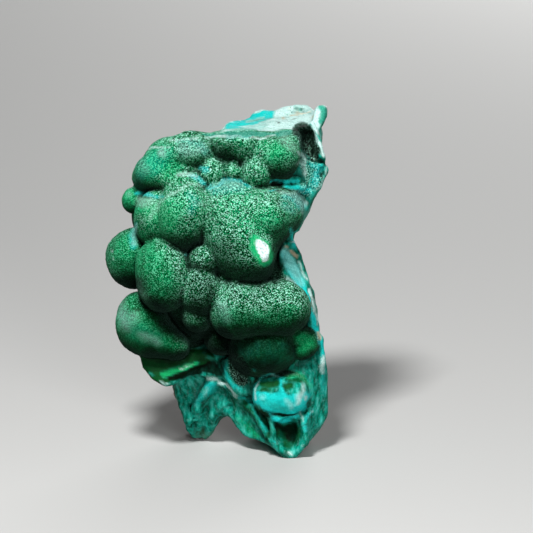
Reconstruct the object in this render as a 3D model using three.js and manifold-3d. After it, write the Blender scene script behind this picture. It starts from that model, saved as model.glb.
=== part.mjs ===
// A hand specimen of velvet malachite: a crust of fused, grape-like lobes on a broken slab of
// host rock, which stands on the worn ends of the two feet at its broken lower end.
// Millimetres, +Z up, the lobed growth face towards -Y, origin on the ground under the middle
// of the stone's bounding box.
//
// The stone is laid out upright, with its growth face square to -Y, and is then leaned back as
// a whole, so every position below is in the upright frame: x to the right, y into the rock,
// z along the slab from its lowest point.
import * as THREE from "three";
import { ConvexGeometry } from "three/addons/geometries/ConvexGeometry.js";
import { mergeVertices } from "three/addons/utils/BufferGeometryUtils.js";
import Module from "manifold-3d";

const wasm = await Module();
wasm.setup();

// Driving dimensions
const leanBack = THREE.MathUtils.degToRad(15); // the slab leans back this far as it stands
const facetEdge = 1.9; // edge length of the facets of a lobe
const icosahedronEdge = 1.05; // edge length of an icosahedron of radius 1
const ridgeStep = 0; // subdivisions of the small balls that a ridge is drawn between
const crustTopZ = 57.05; // the upper lobes are broken off at this height
const crustTopSlope = 0.27; // rise of that break per millimetre into the rock
const middleY = 12.53; // the middle of the standing stone's box, before it is moved over the origin
const malachiteGreen = 0x1d7a4c;

// Turns a closed three.js geometry into a solid that can be joined and cut.
function asSolid(geometry) {
  const bare = new THREE.BufferGeometry();
  const flat = geometry.index ? geometry.toNonIndexed() : geometry;
  bare.setAttribute("position", flat.getAttribute("position"));
  const merged = mergeVertices(bare, 1e-4);
  const mesh = new wasm.Mesh({
    numProp: 3,
    vertProperties: merged.getAttribute("position").array,
    triVerts: new Uint32Array(merged.index.array),
  });
  return new wasm.Manifold(mesh);
}

// An ellipsoid with evenly sized facets, turned in the plane of the growth face.
function ellipsoid([x, y, z], [radiusX, radiusY, radiusZ], turnDegrees) {
  const meanRadius = (radiusX + radiusY + radiusZ) / 3;
  const subdivisions = Math.max(1, Math.round((icosahedronEdge * meanRadius) / facetEdge) - 1);
  const geometry = new THREE.IcosahedronGeometry(1, subdivisions);
  geometry.scale(radiusX, radiusY, radiusZ);
  geometry.rotateY(THREE.MathUtils.degToRad(-turnDegrees));
  geometry.translate(x, y, z);
  return asSolid(geometry);
}

const crust = [];
const rock = [];
const hollows = [];

// A lobe of the malachite crust: its centre, radii and turn in degrees.
function lobe(centre, radii, turnDegrees = 0) {
  crust.push(ellipsoid(centre, radii, turnDegrees));
}

// A convex piece of the broken host rock through the given corners.
function chunk(corners) {
  const points = corners.map(([x, y, z]) => new THREE.Vector3(x, y, z));
  rock.push(asSolid(new ConvexGeometry(points)));
}

// A rounded ridge on the rock. Each station is x, y, z and the ridge's radius there.
function ridge(stations) {
  for (let i = 0; i < stations.length - 1; i += 1) {
    const points = [];
    for (const [x, y, z, radius] of [stations[i], stations[i + 1]]) {
      const ball = new THREE.IcosahedronGeometry(radius, ridgeStep);
      const vertices = ball.getAttribute("position");
      for (let v = 0; v < vertices.count; v += 1) {
        const corner = new THREE.Vector3().fromBufferAttribute(vertices, v);
        points.push(corner.add(new THREE.Vector3(x, y, z)));
      }
    }
    rock.push(asSolid(new ConvexGeometry(points)));
  }
}

// A rounded hollow in the rock: its centre, radii and turn in degrees.
function hollow(centre, radii, turnDegrees = 0) {
  hollows.push(ellipsoid(centre, radii, turnDegrees));
}

function joined(solids) {
  return solids.reduce((whole, solid) => whole.add(solid));
}

// Upper row of lobes: the shoulder on the left, the brow, and the cap on the right. The small
// beads sit in the creases below them.
lobe([-9.8, -1.0, 49.6], [4.7, 4.4, 3.6], 8); // shoulder low
lobe([-8.1, -1.6, 52.2], [4.1, 3.8, 3.4]); // shoulder top
lobe([-11.9, 0.6, 48.5], [2.8, 2.7, 2.6]); // shoulder out
lobe([-4.3, -2.6, 53.0], [4.0, 3.8, 3.6]); // brow
lobe([-1.9, -1.6, 53.4], [2.6, 2.8, 2.9]); // brow right
lobe([-6.0, -3.0, 48.0], [5.0, 3.6, 2.8], -6); // brow fold
lobe([1.9, -2.8, 54.7], [3.3, 3.4, 3.6]); // crown left
lobe([4.7, -3.0, 54.2], [2.9, 3.4, 3.8]); // crown mid
lobe([10.5, -3.6, 52.3], [4.0, 4.1, 4.3]); // cap right
lobe([8.3, -3.2, 53.2], [3.1, 3.3, 3.4]); // cap left
lobe([12.2, -2.4, 54.6], [2.4, 2.7, 2.9]); // cap top
lobe([6.7, -4.4, 49.2], [2.9, 3.2, 3.4]); // bead under cap
lobe([2.8, -3.8, 49.7], [1.7, 1.9, 2.1]); // bead small
lobe([-0.7, -3.2, 49.6], [2.6, 2.8, 2.9]); // bead left

// Middle row: one broad dome of merged lobes carries a small chipped nub, with smaller lobes to
// its left.
lobe([-10.2, -2.4, 41.5], [4.3, 4.7, 5.2]); // cheek left
lobe([-5.7, -5.0, 42.0], [4.8, 5.6, 6.0]); // middle left
lobe([2.1, -4.4, 42.7], [5.3, 6.2, 5.5]); // mass top
lobe([8.3, -4.8, 41.6], [5.3, 5.9, 5.3]); // mass right
lobe([2.2, -5.0, 37.7], [4.8, 6.0, 5.2]); // mass left
lobe([5.3, -5.0, 35.6], [5.0, 6.4, 5.7]); // mass low
lobe([11.7, -2.2, 43.4], [3.1, 3.5, 3.3]); // mass edge
lobe([7.6, -8.7, 36.3], [2.2, 3.5, 2.8], -14); // nub
lobe([-2.2, -6.5, 34.4], [2.8, 2.5, 2.8]); // bead mid

// Lower row: three fused masses above the broken foot, with lobes set back in their shade.
lobe([-9.5, -4.4, 33.4], [4.5, 4.6, 4.7]); // lower left top
lobe([-9.1, -4.8, 30.4], [4.8, 5.0, 5.2]); // lower left
lobe([-7.4, -4.6, 32.0], [3.1, 3.8, 4.5]); // lower left side
lobe([-3.1, -5.6, 29.1], [3.6, 4.1, 4.5]); // lower mid
lobe([-3.4, -4.0, 25.4], [2.9, 3.2, 3.4]); // lower mid drop
lobe([3.6, -5.8, 25.9], [5.0, 5.1, 5.2]); // long left
lobe([7.2, -5.9, 25.9], [4.5, 4.6, 4.7]); // long mid
lobe([11.0, -5.2, 26.1], [5.0, 4.9, 4.8]); // long right
lobe([14.8, -1.6, 20.1], [2.9, 2.8, 2.8]); // corner
lobe([7.8, -1.6, 19.7], [6.2, 5.8, 5.3]); // under long
lobe([0.7, -1.4, 20.6], [2.9, 2.8, 2.8]); // under left

// Left side: separate balls that stand out past the slab.
lobe([-14.3, 1.2, 44.6], [2.3, 2.4, 2.4]); // pea
lobe([-13.9, 2.2, 34.8], [5.3, 5.3, 5.3]); // side ball
lobe([-12.6, 0.4, 23.7], [4.9, 5.1, 5.3]); // low ball
lobe([-11.4, 0.4, 21.3], [4.7, 4.1, 3.6]); // low belly
lobe([-8.8, 0.0, 20.4], [4.1, 3.4, 2.6], -30); // low tail

// The crust goes on round the left side towards the back, and fills the space behind the rows.
lobe([-10.2, 5.4, 48.9], [4.0, 4.1, 4.1]); // back shoulder
lobe([-11.6, 6.4, 42.3], [3.3, 3.9, 4.5]); // back cheek
lobe([-11.6, 8.0, 35.1], [4.5, 4.6, 4.7]); // back side
lobe([-11.0, 6.4, 24.4], [5.0, 5.1, 5.2]); // back low
lobe([0.9, 3.0, 50.8], [6.9, 6.5, 5.2]); // fill top
lobe([-6.4, 3.0, 44.7], [6.9, 6.5, 10.3]); // fill left
lobe([-4.7, 3.0, 29.2], [8.3, 5.0, 10.3]); // fill low
lobe([1.6, 0.5, 50.3], [12.4, 4.8, 4.3]); // bed upper
lobe([1.2, 0.0, 40.9], [11.7, 6.8, 7.8]); // bed middle
lobe([1.9, 0.2, 28.9], [12.1, 6.6, 8.6]); // bed lower

// The small double dome on the front of the right foot.
lobe([9.3, -0.2, 11.1], [3.3, 3.5, 3.8]); // dome left
lobe([12.4, -0.6, 11.3], [3.6, 3.7, 3.8]); // dome right

// The slab of host rock behind the crust, with a flat broken top that rises to the back.
// top block
chunk([
  [1.6, 1.4, 57.4], [2.4, 4.6, 58.3], [3.8, 6.5, 58.8], [5.7, 9.4, 59.6], [7.8, 12.0, 60.5],
  [14.0, 13.6, 60.9], [11.7, 13.4, 60.5], [16.4, 13.0, 60.3], [17.2, 10.0, 60.0],
  [17.8, 4.0, 58.2], [1.6, -1.6, 56.6], [11.7, -1.8, 56.6], [15.9, -1.5, 56.6],
  [17.2, -0.6, 56.9], [18.4, 2.0, 52.5], [18.6, 1.0, 49.7], [18.1, 9.0, 50.8],
  [14.3, 14.0, 53.4], [5.7, 15.0, 51.6], [-2.9, 10.0, 51.6], [15.5, -0.5, 44.7],
  [13.8, 0.0, 39.6], [14.0, 10.0, 39.2], [4.0, 14.0, 37.8], [-2.9, 10.0, 37.8],
  [-0.3, 0.0, 37.8],
]);
// left block
chunk([
  [-11.2, 2.0, 53.0], [-7.2, 0.0, 55.4], [-2.1, -2.0, 55.8], [1.6, -2.0, 56.3],
  [1.6, 8.0, 56.6], [-4.7, 7.0, 55.8], [-9.8, 8.0, 53.0], [-11.6, 9.0, 38.7],
  [-11.6, 1.0, 38.7], [1.6, 0.0, 38.7], [1.6, 13.0, 38.7], [-4.7, 12.0, 48.2],
]);
// middle block
chunk([
  [12.2, 0.0, 40.4], [13.3, 3.0, 38.2], [13.8, 8.0, 35.4], [4.0, 14.0, 38.7],
  [-10.7, 10.0, 40.4], [-11.6, 3.0, 40.4], [15.2, 0.0, 30.1], [16.0, 6.0, 29.1],
  [18.1, 1.0, 18.9], [18.8, 3.0, 13.7], [18.1, 10.0, 13.7], [5.7, 16.0, 13.7],
  [-6.4, 14.0, 15.4], [-11.2, 8.0, 20.6], [-11.2, 3.0, 27.5], [-5.5, 2.0, 14.6],
  [14.3, -1.0, 13.7],
]);
// strip face
chunk([
  [11.7, -2.0, 37.5], [10.7, -2.8, 35.1], [11.6, -3.2, 31.8], [13.1, -3.2, 28.5],
  [14.7, -2.6, 25.1], [13.8, -0.6, 37.3], [14.8, -0.4, 34.4], [15.7, -0.4, 30.9],
  [16.2, -0.4, 27.8], [17.1, -0.4, 24.1], [12.2, 4.0, 37.2], [14.3, 4.0, 34.1],
  [15.7, 5.0, 27.5], [12.6, 4.0, 29.2],
]);
// back upper
chunk([
  [-9.5, 8.0, 53.0], [-10.2, 8.5, 38.0], [-7.5, 12.6, 51.0], [-9.0, 13.0, 37.0],
  [1.5, 15.2, 55.5], [3.0, 16.4, 43.0], [2.0, 15.8, 30.0], [11.5, 13.4, 57.0],
  [16.0, 9.6, 54.0], [14.2, 12.6, 48.0], [12.6, 14.2, 38.0], [12.6, 9.0, 36.0],
  [10.5, 14.8, 30.0], [-8.0, 12.0, 30.0], [-8.0, 4.0, 45.0],
]);
// back lower
chunk([
  [-9.0, 12.4, 37.0], [-9.8, 9.0, 30.0], [-9.0, 13.6, 22.0], [-7.0, 13.0, 13.0],
  [-3.0, 15.6, 36.0], [3.5, 16.9, 28.0], [4.0, 17.4, 13.0], [12.0, 15.2, 34.0],
  [14.2, 15.6, 22.0], [16.8, 13.0, 14.0], [17.4, 9.0, 22.0], [15.4, 9.0, 29.0],
  [12.4, 12.6, 39.0], [-5.0, 15.2, 9.5], [13.0, 16.6, 8.5],
]);
// back scar
chunk([
  [-3.5, 15.0, 46.5], [3.5, 15.6, 50.5], [9.8, 14.9, 42.0], [9.4, 16.4, 27.0],
  [2.0, 18.6, 20.5], [-5.0, 16.4, 24.0], [-6.5, 14.4, 37.0], [3.0, 17.8, 34.0],
  [2.0, 12.0, 35.0], [6.0, 12.0, 24.0], [-2.0, 12.0, 28.0],
]);
// back step
chunk([
  [-7.0, 14.0, 24.0], [-8.0, 13.0, 16.0], [-2.0, 17.6, 15.0], [-1.0, 17.8, 24.0],
  [-4.0, 16.8, 11.0], [-5.0, 10.0, 18.0], [0.0, 10.0, 18.0],
]);

// The broken lower end: two feet with an arch between them.
// right foot
chunk([
  [4.0, 5.0, 14.6], [7.8, 1.0, 15.1], [15.7, -1.0, 15.1], [18.6, 2.0, 17.2],
  [19.1, 4.0, 11.1], [19.1, 4.0, 7.5], [17.6, 6.0, 4.9], [14.1, 0.6, 1.1], [12.6, 1.0, 0.0],
  [13.6, 1.2, 0.3], [11.6, 1.0, 0.9], [9.1, 1.6, 2.5], [7.8, 3.0, 3.5], [7.8, 4.0, 6.8],
  [15.3, 19.0, 4.9], [12.9, 20.0, 5.1], [17.8, 12.0, 10.3], [7.8, 15.0, 10.3],
  [8.8, 17.0, 5.4],
]);
// foot lap
chunk([
  [3.3, 3.0, 10.9], [7.8, 2.0, 10.3], [8.4, 3.0, 3.0], [4.7, 4.5, 3.9], [4.0, 5.0, 5.3],
  [2.6, 5.0, 6.8], [4.0, 14.0, 10.3], [7.8, 15.0, 5.9], [5.3, 12.0, 5.8],
]);
// left foot
chunk([
  [-7.9, 8.0, 12.8], [-6.4, 5.0, 14.4], [-2.1, 4.0, 15.1], [1.6, 4.0, 13.4],
  [3.3, 5.0, 10.6], [2.2, 8.0, 7.8], [0.3, 9.0, 7.5], [-0.7, 9.4, 5.3], [-1.9, 11.2, 3.0],
  [-4.0, 11.2, 3.0], [-4.8, 9.4, 4.9], [-6.7, 8.8, 8.9], [-3.4, 18.2, 4.8],
  [-2.1, 18.2, 4.8], [-0.3, 15.0, 8.2], [-6.7, 15.0, 10.3], [2.6, 14.0, 10.3],
  [-4.7, 14.0, 14.4],
]);
// bridge
chunk([
  [-0.9, 3.0, 15.1], [4.0, 3.0, 14.6], [5.7, 5.0, 8.5], [3.3, 7.0, 7.2], [0.0, 8.0, 7.2],
  [-1.2, 9.0, 10.3], [-0.9, 14.0, 13.7], [4.8, 14.0, 12.8], [4.0, 12.0, 7.8],
  [0.0, 13.0, 7.8],
]);

// The spur at the top right corner, the ledge under the lowest ball and the velvety patch.
// knob
chunk([
  [16.9, 2.6, 60.3], [17.4, 1.6, 61.0], [18.8, 1.6, 61.1], [19.1, 2.8, 60.3],
  [19.0, 2.4, 58.9], [17.9, 0.6, 57.2], [16.6, 5.0, 58.4], [18.1, 6.0, 60.9],
  [16.6, 0.6, 57.8], [17.1, 7.0, 60.3],
]);
// ledge
chunk([
  [-13.1, 1.0, 18.0], [-12.8, 1.0, 16.1], [-11.4, 0.0, 14.2], [-9.0, 0.0, 12.7],
  [-7.9, 0.5, 12.8], [-6.7, 0.0, 15.1], [-1.0, 1.0, 17.3], [-2.1, 0.5, 18.4],
  [-11.9, 6.0, 18.5], [-9.8, 8.0, 14.1], [-2.9, 8.0, 18.5], [-2.9, 6.0, 16.1],
]);
// patch
chunk([
  [1.2, -0.3, 16.8], [1.9, -0.3, 14.1], [3.8, 0.0, 11.1], [5.7, 0.0, 11.6],
  [6.7, -1.0, 15.8], [3.6, -1.6, 17.7], [1.6, 6.0, 17.2], [2.6, 6.0, 11.1], [6.6, 6.0, 11.6],
  [6.7, 6.0, 17.2],
]);

// Folds of the two feet.
// left foot edge
ridge([
  [-7.2, 7.8, 11.8, 0.6], [-6.0, 7.4, 9.2, 0.7], [-5.0, 7.8, 6.8, 0.8],
  [-3.8, 10.8, 3.9, 0.8],
]);
// left foot fold
ridge([
  [-0.9, 3.4, 13.4, 1.1], [-1.9, 4.8, 11.6, 1.1], [-3.4, 6.6, 8.9, 0.9],
  [-3.3, 9.0, 5.8, 0.8], [-2.8, 10.9, 3.9, 0.8],
]);
// left foot hook
ridge([
  [-0.9, 3.0, 13.9, 0.6], [0.9, 2.6, 13.0, 0.5], [2.2, 2.6, 12.2, 0.4],
  [3.6, 2.8, 10.8, 0.5],
]);
// left foot right
ridge([
  [2.8, 4.6, 10.3, 0.6], [0.9, 5.8, 9.2, 0.8], [-0.5, 7.0, 7.7, 0.9], [-1.2, 9.0, 5.4, 0.8],
  [-2.1, 10.9, 3.9, 0.8],
]);
// right foot left
ridge([
  [3.6, 3.2, 10.4, 0.6], [5.9, 2.2, 8.9, 0.7], [7.6, 1.2, 6.1, 0.6], [9.1, 0.8, 3.4, 0.6],
  [11.9, 0.7, 0.9, 0.7],
]);
// right foot keel
ridge([
  [8.8, -0.2, 8.2, 0.5], [9.7, 0.0, 4.7, 0.5], [10.9, 0.5, 2.0, 0.6], [12.4, 1.0, 0.6, 0.7],
]);
// right foot right
ridge([
  [16.4, -0.8, 9.2, 0.5], [15.0, -0.8, 6.5, 0.6], [15.3, -0.2, 3.0, 0.6],
  [13.3, 0.9, 0.8, 0.7],
]);
// dome skirt
ridge([
  [9.0, -0.4, 8.2, 0.5], [10.0, -0.8, 7.2, 0.6], [11.6, -1.0, 6.6, 0.7],
  [12.9, -0.9, 6.8, 0.6], [14.3, -0.8, 7.7, 0.5],
]);
// arch lip
ridge([
  [0.7, 7.0, 8.0, 0.7], [2.6, 5.4, 8.0, 0.9], [4.1, 4.2, 6.8, 0.7],
]);

// Broken layers along the right edge, and a bump on the broken top.
// top bump
ridge([
  [13.6, 12.6, 60.4, 0.5], [14.5, 12.6, 60.6, 0.6], [15.5, 12.4, 60.4, 0.5],
]);
// rim right
ridge([
  [16.4, 0.4, 57.8, 0.6], [17.2, -0.6, 54.9, 0.7], [17.9, -0.4, 52.3, 0.7],
  [18.3, 0.8, 49.9, 0.7], [17.1, 0.6, 47.2, 0.7], [15.5, 0.2, 44.9, 0.7],
]);
// shelf upper
ridge([
  [9.3, -3.0, 48.0, 0.6], [11.9, -3.2, 48.0, 0.6], [14.1, -2.2, 48.4, 0.6],
]);
// shelf lower
ridge([
  [8.8, -3.6, 46.5, 0.6], [11.7, -3.6, 46.8, 0.6], [14.7, -2.2, 47.0, 0.7],
]);
// side strip
ridge([
  [15.3, -2.2, 27.7, 0.8], [16.4, -1.8, 23.7, 0.7], [17.8, -0.4, 20.6, 0.6],
  [18.1, 0.4, 16.8, 0.7],
]);
// cream rim
ridge([
  [12.2, 0.4, 36.1, 0.8], [13.4, 1.4, 34.1, 0.7], [14.5, 2.0, 31.3, 0.7],
  [15.7, 2.6, 28.9, 0.9], [16.7, 2.4, 25.8, 0.8], [17.1, 2.0, 23.0, 0.7],
]);

// Hollows: the recess behind the cap, the scoop in the right foot and the arch between the feet.
hollow([15.7, -4.6, 54.7], [1.8, 6.8, 4.0], 10); // cap recess
hollow([12.2, -1.6, 4.4], [2.2, 3.6, 2.9]); // foot scoop
hollow([1.0, 4.0, 4.1], [1.6, 30.0, 3.0]); // arch

// The plane that the upper lobes are broken off at, as a block above it.
const aboveCrust = new THREE.BoxGeometry(80, 80, 20);
aboveCrust.translate(0, 0, 10);
aboveCrust.rotateX(Math.atan(crustTopSlope));
aboveCrust.translate(0, 0, crustTopZ);

// The ground, as a block that is level once the stone leans back.
const ground = new THREE.BoxGeometry(120, 120, 30);
ground.translate(0, 0, -15);
ground.rotateX(leanBack);

const wholeRock = joined(rock).subtract(joined(hollows));
const wholeCrust = joined(crust).subtract(asSolid(aboveCrust));
const stoneSolid = wholeRock.add(wholeCrust).subtract(asSolid(ground));

const surface = stoneSolid.getMesh();
const stoneGeometry = new THREE.BufferGeometry();
stoneGeometry.setAttribute("position", new THREE.BufferAttribute(surface.vertProperties, 3));
stoneGeometry.setIndex(new THREE.BufferAttribute(surface.triVerts, 1));
stoneGeometry.computeVertexNormals();

const malachite = new THREE.MeshStandardMaterial({
  color: malachiteGreen,
  roughness: 0.85,
  metalness: 0,
  flatShading: true,
});

const specimen = new THREE.Mesh(stoneGeometry, malachite);
specimen.name = "malachite_specimen";

const standing = new THREE.Group();
standing.rotation.x = -leanBack;
standing.position.y = -middleY;
standing.add(specimen);

const part = new THREE.Group();
part.add(standing);

export default part;
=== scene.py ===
"""A velvet malachite specimen: fused, grape-like lobes on a broken slab of chrysocolla-stained rock.

The fine surface is grown from the same lobes, rock pieces, ridges and hollows as the CAD solid:
their distance field is laid out upright in millimetres, meshed, leaned back onto the stone's
feet and moved into the CAD frame in metres.
"""
import math

import bmesh
import bpy
import numpy as np
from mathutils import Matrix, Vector


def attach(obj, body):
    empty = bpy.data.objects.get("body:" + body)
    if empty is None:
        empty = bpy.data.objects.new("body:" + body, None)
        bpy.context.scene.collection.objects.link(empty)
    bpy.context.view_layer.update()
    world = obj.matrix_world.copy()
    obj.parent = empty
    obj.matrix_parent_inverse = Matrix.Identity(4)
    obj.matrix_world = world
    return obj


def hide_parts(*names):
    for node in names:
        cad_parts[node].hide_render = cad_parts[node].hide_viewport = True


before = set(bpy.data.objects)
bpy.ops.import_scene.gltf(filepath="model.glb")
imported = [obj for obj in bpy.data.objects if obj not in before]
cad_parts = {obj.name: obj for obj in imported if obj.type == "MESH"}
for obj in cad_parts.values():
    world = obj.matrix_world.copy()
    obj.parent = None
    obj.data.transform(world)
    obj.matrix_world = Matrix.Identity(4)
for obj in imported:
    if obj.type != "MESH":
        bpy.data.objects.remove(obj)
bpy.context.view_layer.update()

# ---------------------------------------------------------------- driving dimensions, mm
LEAN = math.radians(15.0)      # the slab leans back this far as it stands
MIDDLE_Y = 12.53               # middle of the standing stone's box before it is moved over the origin
CRUST_TOP_Z = 57.05            # the upper lobes are broken off at this height
CRUST_TOP_SLOPE = 0.27         # rise of that break per millimetre into the rock
STEP = 0.37   # spacing of the grid that the surface is meshed on
FAR = 4.0                      # field value away from every shape

# Upright frame: x to the right, y into the rock, z along the slab from its lowest point.
LOBES = [
    # name, group, centre, radii, turn in degrees
    ("shoulder_low", "shoulder", (-9.8, -1, 49.6), (4.7, 4.4, 3.6), 8),
    ("shoulder_top", "shoulder", (-8.1, -1.6, 52.2), (4.1, 3.8, 3.4), 0),
    ("shoulder_out", "shoulder", (-11.9, 0.6, 48.5), (2.8, 2.7, 2.6), 0),
    ("brow", "shoulder", (-4.3, -2.6, 53), (4, 3.8, 3.6), 0),
    ("brow_right", "shoulder", (-1.9, -1.6, 53.4), (2.6, 2.8, 2.9), 0),
    ("brow_fold", "shoulder", (-6, -3, 48), (5, 3.6, 2.8), -6),
    ("crown_left", "crown", (1.9, -2.8, 54.7), (3.3, 3.4, 3.6), 0),
    ("crown_mid", "crown", (4.7, -3, 54.2), (2.9, 3.4, 3.8), 0),
    ("cap_right", "cap", (10.5, -3.6, 52.3), (4, 4.1, 4.3), 0),
    ("cap_left", "cap", (8.3, -3.2, 53.2), (3.1, 3.3, 3.4), 0),
    ("cap_top", "cap", (12.2, -2.4, 54.6), (2.4, 2.7, 2.9), 0),
    ("bead_under_cap", "bead_under_cap", (6.7, -4.4, 49.2), (2.9, 3.2, 3.4), 0),
    ("bead_small", "bead_small", (2.8, -3.8, 49.7), (1.7, 1.9, 2.1), 0),
    ("bead_left", "bead_left", (-0.7, -3.2, 49.6), (2.6, 2.8, 2.9), 0),
    ("cheek_left", "cheek_left", (-10.2, -2.4, 41.5), (4.3, 4.7, 5.2), 0),
    ("middle_left", "middle_left", (-5.7, -5, 42), (4.8, 5.6, 6), 0),
    ("mass_top", "mass", (2.1, -4.4, 42.7), (5.3, 6.2, 5.5), 0),
    ("mass_right", "mass", (8.3, -4.8, 41.6), (5.3, 5.9, 5.3), 0),
    ("mass_left", "mass", (2.2, -5, 37.7), (4.8, 6, 5.2), 0),
    ("mass_low", "mass", (5.3, -5, 35.6), (5, 6.4, 5.7), 0),
    ("mass_edge", "mass", (11.7, -2.2, 43.4), (3.1, 3.5, 3.3), 0),
    ("nub", "nub", (7.6, -8.7, 36.3), (2.2, 3.5, 2.8), -14),
    ("bead_mid", "bead_mid", (-2.2, -6.5, 34.4), (2.8, 2.5, 2.8), 0),
    ("lower_left_top", "lower_left", (-9.5, -4.4, 33.4), (4.5, 4.6, 4.7), 0),
    ("lower_left", "lower_left", (-9.1, -4.8, 30.4), (4.8, 5, 5.2), 0),
    ("lower_left_side", "lower_left", (-7.4, -4.6, 32), (3.1, 3.8, 4.5), 0),
    ("lower_mid", "lower_mid", (-3.1, -5.6, 29.1), (3.6, 4.1, 4.5), 0),
    ("lower_mid_drop", "lower_mid", (-3.4, -4, 25.4), (2.9, 3.2, 3.4), 0),
    ("long_left", "long", (3.6, -5.8, 25.9), (5, 5.1, 5.2), 0),
    ("long_mid", "long", (7.2, -5.9, 25.9), (4.5, 4.6, 4.7), 0),
    ("long_right", "long", (11, -5.2, 26.1), (5, 4.9, 4.8), 0),
    ("corner", "corner", (14.8, -1.6, 20.1), (2.9, 2.8, 2.8), 0),
    ("under_long", "under_long", (7.8, -1.6, 19.7), (6.2, 5.8, 5.3), 0),
    ("under_left", "under_left", (0.7, -1.4, 20.6), (2.9, 2.8, 2.8), 0),
    ("pea", "pea", (-14.3, 1.2, 44.6), (2.3, 2.4, 2.4), 0),
    ("side_ball", "side_ball", (-13.9, 2.2, 34.8), (5.3, 5.3, 5.3), 0),
    ("low_ball", "low", (-12.6, 0.4, 23.7), (4.9, 5.1, 5.3), 0),
    ("low_belly", "low", (-11.4, 0.4, 21.3), (4.7, 4.1, 3.6), 0),
    ("low_tail", "low", (-8.8, 0, 20.4), (4.1, 3.4, 2.6), -30),
    ("back_shoulder", "back1", (-10.2, 5.4, 48.9), (4, 4.1, 4.1), 0),
    ("back_cheek", "back2", (-11.6, 6.4, 42.3), (3.3, 3.9, 4.5), 0),
    ("back_side", "back3", (-11.6, 8, 35.1), (4.5, 4.6, 4.7), 0),
    ("back_low", "back4", (-11, 6.4, 24.4), (5, 5.1, 5.2), 0),
    ("fill_top", "fill", (0.9, 3, 50.8), (6.9, 6.5, 5.2), 0),
    ("fill_left", "fill", (-6.4, 3, 44.7), (6.9, 6.5, 10.3), 0),
    ("fill_low", "fill", (-4.7, 3, 29.2), (8.3, 5, 10.3), 0),
    ("bed_upper", "fill", (1.6, 0.5, 50.3), (12.4, 4.8, 4.3), 0),
    ("bed_middle", "fill", (1.2, 0, 40.9), (11.7, 6.8, 7.8), 0),
    ("bed_lower", "fill", (1.9, 0.2, 28.9), (12.1, 6.6, 8.6), 0),
    ("dome_left", "dome", (9.3, -0.2, 11.1), (3.3, 3.5, 3.8), 0),
    ("dome_right", "dome", (12.4, -0.6, 11.3), (3.6, 3.7, 3.8), 0),
]

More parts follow.
